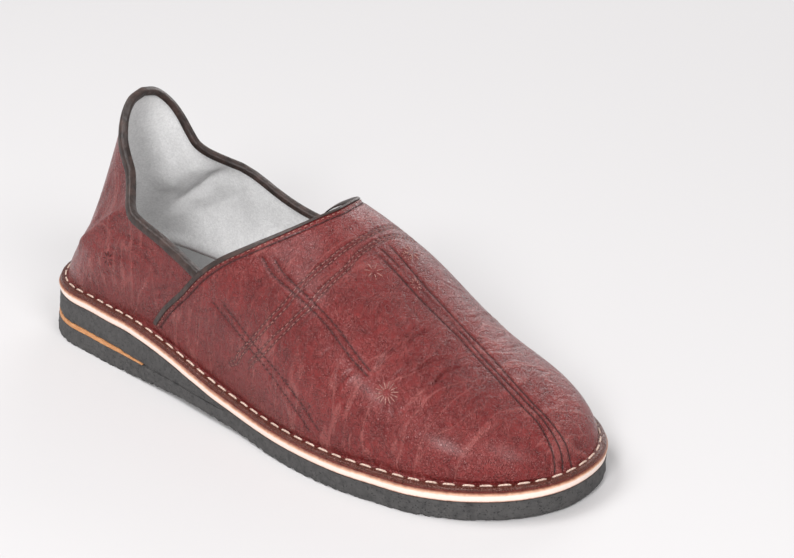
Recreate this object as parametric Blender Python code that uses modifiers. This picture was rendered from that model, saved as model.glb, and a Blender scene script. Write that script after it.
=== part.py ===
"""Leather slipper, right shoe: stitched-down leather upper with a tall heel tab on a layered sole.

The shoe is drawn with its heel at X = 0 and its toe towards +X. The outer side of the foot is -Y and the
ground is Z = 0. Heights of the upper are measured from the seat, the plane that it is sewn down on.
"""

import math

import bmesh
import bpy
import numpy as np

# Plan sizes, in metres
LENGTH = 0.285
BALL_WIDTH = 0.1004
HEEL_WIDTH = 0.0746

# Sole sizes
HEEL_HEIGHT = 0.0197
FOREFOOT_HEIGHT = 0.0079
MIDSOLE_THICKNESS = 0.0041
STRIPE_THICKNESS = 0.0018
INSOLE_THICKNESS = 0.0025
TOE_SPRING = 0.0013
ARCH_LIFT = 0.0022
HEEL_FLARE = 0.0024
RIB_PITCH = 0.0105
GROOVE_WIDTH = 0.0026
GROOVE_DEPTH = 0.0011
# Plain rubber in front of the first groove and behind the last one, at the least
TREAD_MARGIN = 0.0128
EDGE_ROUND = 0.0006

# Upper sizes
INSTEP_HEIGHT = 0.0750
TAB_HEIGHT = 0.0902
FLANGE_WIDTH = 0.0042
WALL = 0.0017
OVERLAP_STEP = 0.0010
STEP_RUN = 0.0005
FLANGE_BEND = 0.0030

# Binding sizes
COLLAR_BINDING_DEPTH = 0.0036
VAMP_BINDING_WIDTH = 0.0019
BINDING_THICKNESS = 0.0007
BINDING_CLEARANCE = 0.0004
# Rise over which the vamp binding's lip grows from the step's height to the whole edge
LIP_FADE = 0.08

# Clearance between pieces that touch, and beside a bend or a fold
GAP = 0.0003
BEND_CLEARANCE = 0.0012

# Places along the sole, as shares of the length from the heel
ARCH_START = 0.18
ARCH_END = 0.62
HEEL_SLOPE_START = 0.22
HEEL_SLOPE_END = 0.55
TOE_SPRING_START = 0.80
FLARE_START = 0.12
FLARE_END = 0.38
STRIPE_FADE_START = 0.175
STRIPE_END = 0.275
WEDGE_FADE_START = 0.45
WEDGE_END = 0.50

# Thickness of the stripe at its front end, share of its full thickness, and of the wedge at its tip
STRIPE_THIN = 0.25
WEDGE_TIP = 0.0005
# How much of the heel's flare is left at the top of the outsole and at the top of the stripe
FLARE_AT_OUTSOLE = 0.6
FLARE_AT_STRIPE = 0.5
# Slope at each side of a groove, share of half its width
GROOVE_SLOPE = 0.3
# Height of the outsole's rounded edge, in groove depths
EDGE_LIFT = 1.5

# The wall's foot lies this far inside the outline
FOOT_INSET = FLANGE_WIDTH + WALL
# Places of the flange's middle row and of the rows that turn it up into the wall
FLANGE_MIDDLE = 0.55
BEND_ROWS = (0.0, 0.35, 0.7)

# Side -1 is the outer side of the foot, side +1 the inner side
SIDES = (-1, 1)

# Outline of the sole. t: share of the length from the heel. outer, inner: half widths as shares of the local
# width, which goes from the heel's to the ball's between HEEL_END and BALL_START.
HEEL_END = 0.20
BALL_START = 0.68
OUTLINE = (
    ("t", "outer", "inner"),
    (0.00, 0.477, 0.489),
    (0.10, 0.474, 0.488),
    (0.20, 0.516, 0.484),
    (0.30, 0.548, 0.464),
    (0.40, 0.553, 0.444),
    (0.50, 0.546, 0.418),
    (0.60, 0.566, 0.418),
    (0.70, 0.575, 0.425),
    (0.80, 0.543, 0.434),
    (0.90, 0.485, 0.437),
    (1.00, 0.428, 0.428),
)
HEEL_ROUNDING = 0.12
TOE_ROUNDING = 0.19
ROUNDING_POWER = 2.2

# Ridge of the vamp. back: distance back from the toe of the wall, share of the length. height: share of the
# instep height.
RIDGE = (
    ("back", "height"),
    (0.000, 0.000),
    (0.007, 0.046),
    (0.017, 0.118),
    (0.027, 0.160),
    (0.047, 0.222),
    (0.068, 0.274),
    (0.110, 0.363),
    (0.171, 0.465),
    (0.262, 0.655),
    (0.354, 0.884),
    (0.421, 1.000),
    (0.560, 1.110),
    (0.700, 1.160),
)

# Rear edge of the vamp, from its foot at the sole to its crown. rise: share of the rows of the wall. x: share
# of the length. outer, inner: distance from the middle on each side, share of half the heel's width. height:
# share of the instep height.
VAMP_EDGE = (
    ("rise", "x", "outer", "inner", "height"),
    (0.00, 0.281, 0.980, 0.800, 0.000),
    (0.12, 0.298, 1.040, 0.960, 0.110),
    (0.25, 0.324, 1.080, 1.030, 0.245),
    (0.37, 0.359, 1.085, 1.060, 0.400),
    (0.48, 0.392, 1.060, 1.050, 0.565),
    (0.60, 0.426, 0.990, 1.000, 0.700),
    (0.70, 0.462, 0.870, 0.900, 0.805),
    (0.80, 0.493, 0.710, 0.760, 0.885),
    (0.88, 0.519, 0.500, 0.560, 0.948),
    (0.94, 0.536, 0.270, 0.310, 0.985),
    (1.00, 0.545, 0.000, 0.000, 1.000),
)
# Rise at which the topline meets the vamp, and rise from which the edge draws in to the ridge
JOIN_RISE = 0.48
CROWN_RISE = 0.80

# Columns of the vamp. foot: share of the foot line from the rear edge to the toe. crown: where the column
# meets the ridge, share of the length.
VAMP_COLUMNS = (
    ("foot", "crown"),
    (0.00, 0.545),
    (0.25, 0.640),
    (0.50, 0.742),
    (0.70, 0.822),
    (0.85, 0.868),
    (1.00, 0.908),
)

# Section of the vamp. t: share of the length. bulge: how far the wall leans out over its foot, share of the
# heel's width. widest: height of the widest place, share of the instep height.
VAMP_SECTION = (
    ("t", "bulge", "widest"),
    (0.28, 0.070, 0.300),
    (0.45, 0.038, 0.280),
    (0.62, 0.026, 0.200),
    (0.74, 0.012, 0.090),
    (0.82, 0.000, 0.000),
    (1.00, 0.000, 0.000),
)
SECTION_POWER = 2.3
LOWER_ROWS = 0.30
# Share of the foot line where the columns begin to run to the toe, and where they all do
TOE_FROM = 0.45
TOE_FULL = 0.72
# Share of the foot line over which the body of the vamp and of the quarter turn into the shared edge
VAMP_BLEND = 0.42
QUARTER_BLEND = 0.45

# Topline of the quarter, from the vamp to the middle of the tab. foot: share of the foot line round the heel.
# x: share of the length. y: share of half the heel's width. height: share of the tab's height.
TOPLINE = (
    ("foot", "x", "y", "height"),
    (0.00, 0.392, 1.025, 0.485),
    (0.12, 0.362, 0.975, 0.492),
    (0.25, 0.333, 0.935, 0.500),
    (0.38, 0.300, 0.910, 0.518),
    (0.50, 0.269, 0.910, 0.540),
    (0.60, 0.246, 0.890, 0.558),
    (0.68, 0.230, 0.815, 0.580),
    (0.75, 0.215, 0.695, 0.615),
    (0.80, 0.201, 0.585, 0.655),
    (0.84, 0.190, 0.515, 0.700),
    (0.88, 0.180, 0.490, 0.755),
    (0.91, 0.172, 0.465, 0.810),
    (0.94, 0.165, 0.405, 0.875),
    (0.965, 0.158, 0.300, 0.940),
    (0.985, 0.154, 0.160, 0.985),
    (1.00, 0.153, 0.000, 1.000),
)
# How far the quarter's wall swells outwards, as shares of the heel's width. foot as above.
QUARTER_BULGE = (
    ("foot", "low", "middle"),
    (0.00, 0.000, 0.000),
    (0.30, 0.020, 0.030),
    (0.60, 0.030, 0.050),
    (0.78, 0.035, 0.055),
    (0.88, 0.030, 0.020),
    (1.00, 0.025, 0.000),
)
# Height of the lower swelling, share of the wall's height
LOW_SWELL = 0.15

# Meshing
OUTLINE_POINTS = 240
SLAB_STATIONS = 44
STRIPE_STATIONS = 22
WAIST_STATIONS = 18
STEP_SHARE = 0.004
HEEL_END_STATIONS = 8
TOE_END_STATIONS = 9
VAMP_STATIONS = 19
QUARTER_STATIONS = 23
ROWS_TO_JOIN = 6
ROWS_TO_CROWN = 7
FIRST_RISE = 0.06
TOE_CROWDING = 0.45
MERGE_DISTANCE = 1e-6
TINY = 1e-7
SHARP_ANGLE = 35
FLANGE_ROWS = 2 + len(BEND_ROWS)


def column(table, name):
    """One named column of a table, as an array."""
    place = table[0].index(name)
    return np.array([row[place] for row in table[1:]], dtype=float)


def smooth_lookup(table, key, name, at):
    """A column read between its rows along a smooth curve without overshoot."""
    x = column(table, key)
    y = column(table, name)
    slope = np.diff(y) / np.diff(x)
    tangent = np.zeros_like(y)
    same_way = slope[:-1] * slope[1:] > 0
    mean = 2 * slope[:-1] * slope[1:] / np.where(same_way, slope[:-1] + slope[1:], 1)
    tangent[1:-1] = np.where(same_way, mean, 0)
    tangent[0] = slope[0]
    tangent[-1] = slope[-1]
    at = np.clip(np.asarray(at, dtype=float), x[0], x[-1])
    k = np.clip(np.searchsorted(x, at, side="right") - 1, 0, len(x) - 2)
    step = x[k + 1] - x[k]
    s = (at - x[k]) / step
    rise = y[k] * (1 + 2 * s) * (1 - s) ** 2 + y[k + 1] * s**2 * (3 - 2 * s)
    return rise + step * (tangent[k] * s * (1 - s) ** 2 - tangent[k + 1] * s**2 * (1 - s))


def smoothstep(low, high, x):
    """0 below low, 1 above high, with level ends."""
    s = np.clip((np.asarray(x, dtype=float) - low) / (high - low), 0, 1)
    return s * s * (3 - 2 * s)


def mix(a, b, share):
    """A straight blend from a to b."""
    return a + (b - a) * share


def half_width(t, side):
    """Half width of the sole at share t of the length, rounded off at heel and toe."""
    local = mix(HEEL_WIDTH, BALL_WIDTH, smoothstep(HEEL_END, BALL_START, t))
    width = local * smooth_lookup(OUTLINE, "t", "outer" if side < 0 else "inner", t)
    from_end = np.minimum(np.clip(t / HEEL_ROUNDING, 0, 1), np.clip((1 - t) / TOE_ROUNDING, 0, 1))
    return width * (1 - (1 - from_end) ** ROUNDING_POWER) ** (1 / ROUNDING_POWER)


def outline_side(side):
    """Points and outward directions along one side of the sole, from heel to toe, side +1 and -1 alike."""
    t = (1 - np.cos(np.linspace(0, math.pi, OUTLINE_POINTS))) / 2
    points = np.stack([t * LENGTH, side * half_width(t, side)], axis=1)
    run = np.gradient(points, axis=0)
    run[0] = (0, side)
    run[-1] = (0, -side)
    out = np.stack([-side * run[:, 1], side * run[:, 0]], axis=1)
    return points, out / np.linalg.norm(out, axis=1, keepdims=True)


OUTLINES = {side: outline_side(side) for side in SIDES}


def offset_side(side, outward):
    """One side of the outline moved outwards by a distance, or by an array of distances."""
    points, out = OUTLINES[side]
    return points + out * np.reshape(outward, (-1, 1))


def width_at(side, outward, x):
    """Y of the moved outline at the places x."""
    moved = offset_side(side, outward)
    return np.interp(x, moved[:, 0], moved[:, 1])


def toe_spring(t):
    """How far the sole curls up before the toe."""
    return TOE_SPRING * np.clip((np.asarray(t) - TOE_SPRING_START) / (1 - TOE_SPRING_START), 0, 1) ** 2


def ground_face(t):
    """Height of the outsole's underside without its grooves: flat, arched at the waist, sprung at the toe."""
    share = np.clip((np.asarray(t) - ARCH_START) / (ARCH_END - ARCH_START), 0, 1)
    return ARCH_LIFT * np.sin(math.pi * share) ** 2 + toe_spring(t)


def rubber_top(t):
    """Height of the rubber that the midsole lies on."""
    return mix(HEEL_HEIGHT, FOREFOOT_HEIGHT, smoothstep(HEEL_SLOPE_START, HEEL_SLOPE_END, t)) + toe_spring(t)


def seat(x):
    """Height of the plane that the upper stands on, at the places x."""
    return rubber_top(np.clip(np.asarray(x) / LENGTH, 0, 1)) + MIDSOLE_THICKNESS + 2 * GAP


def outsole_top(t):
    """Top of the outsole: level, and up against the midsole where the heel wedge has ended."""
    level = FOREFOOT_HEIGHT + toe_spring(t)
    return mix(level, rubber_top(t), smoothstep(WEDGE_FADE_START, WEDGE_END, t))


def stripe_thickness(t):
    """Thickness of the tan stripe, thinning before its front end."""
    return STRIPE_THICKNESS * mix(1, STRIPE_THIN, smoothstep(STRIPE_FADE_START, STRIPE_END, t))


def material(name, colour, roughness):
    """A plain material for one sub-part."""
    made = bpy.data.materials.new(name)
    made.use_nodes = True
    shader = made.node_tree.nodes["Principled BSDF"]
    shader.inputs["Base Color"].default_value = (*colour, 1)
    shader.inputs["Roughness"].default_value = roughness
    shader.inputs["Metallic"].default_value = 0
    return made


def new_object(name, points, faces, look, closed=True):
    """An object from points and faces, with points in the same place made one."""
    mesh = bpy.data.meshes.new(name)
    mesh.from_pydata([tuple(p) for p in points], [], faces)
    shape = bmesh.new()
    shape.from_mesh(mesh)
    bmesh.ops.remove_doubles(shape, verts=shape.verts, dist=MERGE_DISTANCE)
    bmesh.ops.dissolve_degenerate(shape, dist=MERGE_DISTANCE, edges=shape.edges)
    if closed:
        bmesh.ops.recalc_face_normals(shape, faces=shape.faces)
    shape.to_mesh(mesh)
    shape.free()
    mesh.shade_smooth()
    mesh.set_sharp_from_angle(angle=math.radians(SHARP_ANGLE))
    mesh.materials.append(look)
    made = bpy.data.objects.new(name, mesh)
    shoe.objects.link(made)
    made.parent = root
    return made


def grid_faces(rows, columns, start=0, flip=False):
    """Quads of a grid stored row by row, with its first point at start."""
    corner = start + np.arange(rows - 1)[:, None] * columns + np.arange(columns - 1)[None, :]
    quads = np.stack([corner, corner + 1, corner + columns + 1, corner + columns], axis=-1).reshape(-1, 4)
    return (quads[:, ::-1] if flip else quads).tolist()


def loop_solid(name, rings, look):
    """A closed solid through closed rings of points, as (stations, ring, 3), capped at both ends."""
    rings = np.asarray(rings)
    count, size = rings.shape[:2]
    closed = np.concatenate([rings, rings[:, :1]], axis=1)
    faces = grid_faces(count, size + 1)
    last = (count - 1) * (size + 1)
    faces.append(list(range(size))[::-1])
    faces.append([last + k for k in range(size)])
    return new_object(name, closed.reshape(-1, 3), faces, look)


def slab(name, look, stations, levels):
    """A layer of the sole, as sections from heel to front.

    levels: from the bottom up, each (outward, height), functions of share t: how far the edge stands outside
    the outline, and its height. Each level's sections are stretched over that level's own length.
    """
    stations = np.asarray(stations)
    lower = [level_points(stations, *level, 1) for level in levels]
    upper = [level_points(stations, *level, -1) for level in levels[::-1]]
    rings = np.stack(lower + upper, axis=1)
    return loop_solid(name, rings, look)


def level_points(t, outward, height, side):
    """Edge points of one level of a slab on one side."""
    points, out = OUTLINES[side]
    share = points[:, 0] / LENGTH
    moved = points + out * np.reshape(outward(share) + 0 * share, (-1, 1))
    x = mix(moved[0, 0], moved[-1, 0], t)
    y = np.interp(x, moved[:, 0], moved[:, 1])
    return np.stack([x, y, height(t) + 0 * t], axis=1)


def spread(start, end, count):
    """Stations from start to end, closer together where the sole's ends are rounded."""
    low = math.acos(1 - 2 * start)
    high = math.acos(1 - 2 * end)
    return (1 - np.cos(np.linspace(low, high, count))) / 2


def tread_stations():
    """Stations of the outsole: the rounded ends, and both edges of each groove's slopes."""
    pitch = RIB_PITCH / LENGTH
    half = GROOVE_WIDTH / 2 / LENGTH
    slope = half * GROOVE_SLOPE
    count = int((LENGTH - 2 * TREAD_MARGIN) / RIB_PITCH)
    middles = 0.5 + (np.arange(count) - (count - 1) / 2) * pitch
    edges = (middles[:, None] + np.array([-half - slope, -half, half, half + slope])).ravel()
    first = spread(0, edges[0] - slope, HEEL_END_STATIONS)
    last = spread(edges[-1] + slope, 1, TOE_END_STATIONS)
    depth = np.zeros(len(first) + len(edges) + len(last))
    depth[len(first):len(first) + len(edges)] = np.tile([0, 1, 1, 0], count) * GROOVE_DEPTH
    return np.concatenate([first, edges, last]), depth


def flare(t):
    """How far the heel's rubber spreads at the ground."""
    return HEEL_FLARE * (1 - smoothstep(FLARE_START, FLARE_END, t))


def make_outsole():
    """The full-length rubber sheet with grooves across its underside."""
    stations, depth = tread_stations()

    def underside(t):
        return ground_face(t) + np.interp(t, stations, depth)

    def shoulder(t):
        return ground_face(t) + GROOVE_DEPTH * EDGE_LIFT

    levels = [
        (lambda t: flare(t) - EDGE_ROUND, underside),
        (flare, shoulder),
        (lambda t: FLARE_AT_OUTSOLE * flare(t), outsole_top),
    ]
    return slab("outsole", rubber, stations, levels)


def make_heel_layers():
    """The tan stripe and the wedge above it."""
    stripe_at = spread(0, STRIPE_END, STRIPE_STATIONS)
    stripe_levels = [
        (lambda t: FLARE_AT_OUTSOLE * flare(t), lambda t: outsole_top(t) + GAP),
        (lambda t: FLARE_AT_STRIPE * flare(t), lambda t: outsole_top(t) + GAP + stripe_thickness(t)),
    ]
    slab("heel_stripe", tan_leather, stripe_at, stripe_levels)

    def wedge_bottom(t):
        under = np.where(t <= STRIPE_END, stripe_thickness(t) + GAP, 0)
        return outsole_top(t) + GAP + under

    waist_at = np.linspace(STRIPE_END + STEP_SHARE, WEDGE_END, WAIST_STATIONS)
    all_stations = np.concatenate([stripe_at, waist_at])
    gone = rubber_top(all_stations) - wedge_bottom(all_stations) < WEDGE_TIP
    wedge_at = all_stations[: int(np.argmax(gone & (all_stations > STRIPE_END)))]
    wedge_levels = [
        (lambda t: FLARE_AT_STRIPE * flare(t), wedge_bottom),
        (lambda t: 0, rubber_top),
    ]
    slab("heel_wedge", rubber, wedge_at, wedge_levels)


def make_midsole():
    """The pale leather sheet with its edges rounded off."""
    levels = [
        (lambda t: -EDGE_ROUND, lambda t: rubber_top(t) + GAP),
        (lambda t: 0, lambda t: rubber_top(t) + GAP + EDGE_ROUND),
        (lambda t: 0, lambda t: rubber_top(t) + GAP + MIDSOLE_THICKNESS - EDGE_ROUND),
        (lambda t: -EDGE_ROUND, lambda t: rubber_top(t) + GAP + MIDSOLE_THICKNESS),
    ]
    return slab("midsole", pale_leather, spread(0, 1, SLAB_STATIONS), levels)


def make_insole():
    """The sheet inside the upper, clear of the bend at the foot of the wall."""
    inset = -(FOOT_INSET + BEND_CLEARANCE)
    levels = [
        (lambda t: inset, lambda t: insole_height(t, GAP)),
        (lambda t: inset, lambda t: insole_height(t, INSOLE_THICKNESS)),
    ]
    return slab("insole", suede, spread(0, 1, SLAB_STATIONS), levels)


def insole_height(t, above):
    """A height above the midsole, at a share of the insole's own length."""
    x = mix(FOOT_INSET, LENGTH - FOOT_INSET, t)
    return seat(x) - GAP + above


def foot_line(side):
    """Foot of the wall's inner face along one side, its outward directions, and its length from the heel."""
    points = offset_side(side, -FOOT_INSET)
    run = np.linalg.norm(np.diff(points, axis=0), axis=1)
    return points, OUTLINES[side][1], np.concatenate([[0], np.cumsum(run)])


def along(line, arc):
    """Points and outward directions of a foot line at the given lengths from the heel."""
    points, out, length = line
    at = np.stack([np.interp(arc, length, points[:, k]) for k in (0, 1)], axis=1)
    way = np.stack([np.interp(arc, length, out[:, k]) for k in (0, 1)], axis=1)
    return at, way / np.linalg.norm(way, axis=1, keepdims=True)


def ridge_height(x):
    """Height of the vamp's ridge over the seat."""
    back = (LENGTH - FOOT_INSET - x) / LENGTH
    root_back = np.sqrt(np.clip(back, 0, None))
    rows = [("back", "height")] + [(math.sqrt(b), h) for b, h in RIDGE[1:]]
    return INSTEP_HEIGHT * smooth_lookup(rows, "back", "height", root_back)


def wall_rows():
    """Rise of each row of the wall: 0 at the foot, JOIN_RISE at the topline's front end, 1 at the crown."""
    low = np.linspace(FIRST_RISE, JOIN_RISE, ROWS_TO_JOIN + 1)
    high = np.linspace(JOIN_RISE, 1, ROWS_TO_CROWN + 1)
    return np.concatenate([low, high[1:]])


RISE = wall_rows()


def edge_curve(side):
    """The rear edge of the vamp on one side, as (rows, 3) with heights over the seat."""
    x = LENGTH * smooth_lookup(VAMP_EDGE, "rise", "x", RISE)
    y = HEEL_WIDTH / 2 * smooth_lookup(VAMP_EDGE, "rise", "outer" if side < 0 else "inner", RISE)
    y = y - (WALL + OVERLAP_STEP) * (1 - smoothstep(CROWN_RISE, 1, RISE))
    foot = abs(width_at(side, -FOOT_INSET, x[0]))
    y = y + (foot - y[0]) * np.clip(1 - (RISE - RISE[0]) / JOIN_RISE, 0, 1) ** 2
    return np.stack([x, side * y, INSTEP_HEIGHT * smooth_lookup(VAMP_EDGE, "rise", "height", RISE)], axis=1)


def section_point(x, rise, side):
    """Half width and height of the vamp's section at x, for a rise from 0 at the foot to 1 at the crown."""
    t = x / LENGTH
    foot = np.abs(width_at(side, -FOOT_INSET, x))
    bulge = HEEL_WIDTH * smooth_lookup(VAMP_SECTION, "t", "bulge", t)
    widest = INSTEP_HEIGHT * smooth_lookup(VAMP_SECTION, "t", "widest", t)
    lower = LOWER_ROWS * widest / (INSTEP_HEIGHT * VAMP_SECTION[1][2])
    share = np.clip(rise / np.maximum(lower, TINY), 0, 1)
    turn = np.clip((rise - lower) / (1 - lower), 0, 1) * math.pi / 2
    power = 2 / SECTION_POWER
    is_low = rise < lower
    crown = ridge_height(x)
    y = np.where(is_low, foot + bulge * np.sin(share * math.pi / 2), (foot + bulge) * np.cos(turn) ** power)
    height = np.where(is_low, widest * share, widest + (crown - widest) * np.sin(turn) ** power)
    return y, height


def toe_point(foot, crown_x, rise, side):
    """Half width and height of a toe column, which runs straight in plan from its foot to the ridge."""
    fall = np.cos(rise * math.pi / 2) ** (2 / SECTION_POWER)
    x = crown_x + (foot[0] - crown_x) * fall
    y = abs(foot[1]) * fall
    reach = np.maximum(np.abs(width_at(side, -FOOT_INSET, x)), TINY)
    share = np.clip(y / reach, 0, 1)
    height = ridge_height(x) * (1 - share**SECTION_POWER) ** (1 / SECTION_POWER)
    return x, y, height


def flange_rows(foot, out, first):
    """The turned-out foot of one column: the flange's edge, its bend, and the curve up to the first row."""
    rim = np.array([*(foot + out * (FOOT_INSET - EDGE_ROUND)), 0])
    middle = np.array([*(foot + out * mix(FOOT_INSET, FLANGE_BEND, FLANGE_MIDDLE)), 0])
    bend = np.array([*(foot + out * FLANGE_BEND), 0])
    corner = np.array([*foot, 0])
    curve = [(1 - s) ** 2 * bend + 2 * s * (1 - s) * corner + s * s * first for s in BEND_ROWS]
    return [rim, middle, *curve]


def vamp_side(side):
    """Inner face of half the vamp, as (columns, rows, 3) with heights over the seat."""
    line = foot_line(side)
    rear_arc = np.interp(VAMP_EDGE[1][1] * LENGTH, line[0][:, 0], line[2])
    share = np.linspace(0, 1, VAMP_STATIONS)
    share = mix(share, np.sin(share * math.pi / 2), TOE_CROWDING)
    feet, outs = along(line, mix(rear_arc, line[2][-1], share))
    edge = edge_curve(side)
    columns = []
    for k, a in enumerate(share):
        crown_x = LENGTH * float(smooth_lookup(VAMP_COLUMNS, "foot", "crown", a))
        toe = float(smoothstep(TOE_FROM, TOE_FULL, a))
        x = mix(feet[k, 0], crown_x, RISE)
        y, height = section_point(x, RISE, side)
        toe_x, toe_y, toe_height = toe_point(feet[k], crown_x, RISE, side)
        body = np.stack([mix(x, toe_x, toe), side * mix(y, toe_y, toe), mix(height, toe_height, toe)], axis=1)
        if k == 0:
            change = edge - body
        body = body + change * (1 - smoothstep(0, VAMP_BLEND, a))
        columns.append(flange_rows(feet[k], outs[k], body[0]) + list(body))
    return np.array(columns)


def topline_point(a, side):
    """Place of the topline at share a of the foot line, over the seat."""
    return np.array([
        LENGTH * float(smooth_lookup(TOPLINE, "foot", "x", a)),
        side * HEEL_WIDTH / 2 * float(smooth_lookup(TOPLINE, "foot", "y", a)),
        TAB_HEIGHT * float(smooth_lookup(TOPLINE, "foot", "height", a)),
    ])


def quarter_shares(foot_length):
    """Shares of the foot line for the quarter's columns, evenly spaced along its foot and its topline."""
    fine = np.linspace(0, 1, OUTLINE_POINTS)
    top = np.array([topline_point(a, 1) for a in fine])
    run = np.concatenate([[0], np.cumsum(np.linalg.norm(np.diff(top, axis=0), axis=1))])
    measure = run + fine * foot_length / 2
    return np.interp(np.linspace(0, measure[-1], QUARTER_STATIONS), measure, fine)


def quarter_side(side, rear):
    """Inner face of half the quarter. rear: the vamp's rear column up to the join, which this meets."""
    line = foot_line(side)
    rear_arc = np.interp(VAMP_EDGE[1][1] * LENGTH, line[0][:, 0], line[2])
    share = quarter_shares(rear_arc)
    feet, outs = along(line, mix(rear_arc, 0, share))
    up = RISE[: ROWS_TO_JOIN + 1] / JOIN_RISE
    wall = rear[FLANGE_ROWS:]
    columns = []
    for k, a in enumerate(share):
        top = topline_point(a, side)
        foot = np.array([*feet[k], 0])
        low = HEEL_WIDTH * float(smooth_lookup(QUARTER_BULGE, "foot", "low", a))
        middle = HEEL_WIDTH * float(smooth_lookup(QUARTER_BULGE, "foot", "middle", a))
        swell = low * up / LOW_SWELL * np.exp(1 - up / LOW_SWELL) + middle * np.sin(math.pi * up) ** 2
        body = foot + (top - foot) * up[:, None]
        body[:, :2] += outs[k] * swell[:, None]
        if k == 0:
            change = wall - body
        body = body + change * (1 - smoothstep(0, QUARTER_BLEND, a))
        columns.append(flange_rows(feet[k], outs[k], body[0]) + list(body))
    return np.array(columns)


def lift(points):
    """Points with heights over the seat, moved to their real heights."""
    moved = np.array(points, dtype=float)
    moved[..., 2] += seat(moved[..., 0])
    return moved


def upper_grids():
    """Inner face of the upper: for each side, the vamp's grid and the quarter's grid, at real heights."""
    grids = {}
    for side in SIDES:
        vamp = vamp_side(side)
        join = FLANGE_ROWS + ROWS_TO_JOIN + 1
        quarter = quarter_side(side, vamp[0, :join])
        vamp[0, :, 0] += STEP_RUN
        grids[side] = (lift(vamp), lift(quarter))
    return grids


def make_upper(grids):
    """The shell: vamp and quarter in one wall, thicker where the vamp lies over the quarter."""
    points = []
    faces = []
    weights = []
    thin = WALL / (WALL + OVERLAP_STEP)
    for side in SIDES:
        vamp, quarter = grids[side]
        join = quarter.shape[1]
        link = np.stack([quarter[0], vamp[0, :join]])
        parts = ((vamp, True, side < 0), (link, False, side < 0), (quarter, False, side > 0))
        for grid, is_vamp, flip in parts:
            faces += grid_faces(*grid.shape[:2], start=len(points), flip=flip)
            points += grid.reshape(-1, 3).tolist()
            factor = np.full(grid.shape[:2], thin)
            if is_vamp:
                factor[:, FLANGE_ROWS:] = 1
            weights += factor.ravel().tolist()
    upper = new_object("upper", points, faces, leather, closed=False)
    places = {tuple(np.round(p, 5)): 0 for p in points}
    for p, w in zip(points, weights):
        key = tuple(np.round(p, 5))
        places[key] = max(places[key], w)
    group = upper.vertex_groups.new(name="wall")
    for vertex in upper.data.vertices:
        group.add([vertex.index], places.get(tuple(np.round(vertex.co, 5)), thin), "REPLACE")
    shell = upper.modifiers.new("wall", "SOLIDIFY")
    shell.thickness = WALL + OVERLAP_STEP
    shell.offset = 1
    shell.use_even_offset = False
    shell.vertex_group = "wall"
    return upper


def unit(vectors):
    """Vectors scaled to length 1."""
    return vectors / np.linalg.norm(vectors, axis=-1, keepdims=True)


def edge_frame(edge, within):
    """Directions along an edge of the upper: through the wall, out of the edge, and back into the wall.

    within: points of the wall beside the edge. The last direction lies in the wall and is so long that it
    reaches one metre in from the edge.
    """
    run = unit(np.gradient(edge, axis=0))
    inward = unit(within - edge)
    across = unit(np.cross(run, inward))
    beyond = np.cross(run, across)
    beyond *= -np.sign(np.sum(beyond * inward, axis=1, keepdims=True))
    reach = -np.sum(inward * beyond, axis=1, keepdims=True)
    return across, beyond, inward / reach


def cut_end(line, distance):
    """A line of points whose first point is moved along it by a distance."""
    line = line.copy()
    gap = np.linalg.norm(line[1] - line[0])
    line[0] = mix(line[0], line[1], distance / gap)
    return line


def make_collar_binding(grids):
    """A strip folded over the topline, from the vamp round the tab to the vamp."""
    behind_vamp = STEP_RUN + BINDING_THICKNESS + BEND_CLEARANCE
    halves = [[cut_end(grids[side][1][:, row], behind_vamp) for row in (-1, -2)] for side in SIDES]
    edge, within = [np.concatenate([outer, inner[::-1][1:]]) for outer, inner in zip(*halves)]
    out, up, down = edge_frame(edge, within)
    leg = BINDING_THICKNESS
    near = WALL + BINDING_CLEARANCE
    far = near + leg
    low = down * COLLAR_BINDING_DEPTH
    top = up * BINDING_CLEARANCE
    rings = np.stack([
        edge + out * far + low,
        edge + out * far + top,
        edge + out * WALL / 2 + top + up * leg,
        edge - out * (BINDING_CLEARANCE + leg) + top,
        edge - out * (BINDING_CLEARANCE + leg) + low,
        edge - out * BINDING_CLEARANCE + low,
        edge - out * BINDING_CLEARANCE + top,
        edge + out * near + top,
        edge + out * near + low,
    ], axis=1)
    return loop_solid("collar_binding", rings, dark_leather)


def make_vamp_binding(grids):
    """A narrow strip along the vamp's rear edge, with a lip that covers the edge."""
    start = FLANGE_ROWS + 1
    lines = [[grids[side][0][k, start:] for k in (0, 1)] for side in SIDES]
    edge, ahead = [np.concatenate([outer, inner[::-1][1:]]) for outer, inner in zip(*lines)]
    inward, back, forward = edge_frame(edge, ahead)
    out = -inward
    rows = np.concatenate([RISE[1:], RISE[::-1][1:-1]])
    free = smoothstep(JOIN_RISE, JOIN_RISE + LIP_FADE, rows)[:, None]
    bottom = mix(WALL + BINDING_CLEARANCE, 0, free)
    top = WALL + OVERLAP_STEP + BINDING_CLEARANCE
    leg = BINDING_THICKNESS
    step = back * (STEP_RUN + BINDING_CLEARANCE)
    rings = np.stack([
        edge + out * (top + leg) + forward * VAMP_BINDING_WIDTH,
        edge + out * (top + leg) + step,
        edge + out * top + step + back * leg,
        edge + out * bottom + step + back * leg,
        edge + out * bottom + step,
        edge + out * top + step,
        edge + out * top + forward * VAMP_BINDING_WIDTH,
    ], axis=1)
    return loop_solid("vamp_binding", rings, dark_leather)


for old in list(bpy.data.objects):
    bpy.data.objects.remove(old, do_unlink=True)

shoe = bpy.data.collections.new("leather_slipper")
bpy.context.scene.collection.children.link(shoe)
root = bpy.data.objects.new("shoe_frame", None)
shoe.objects.link(root)

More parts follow.
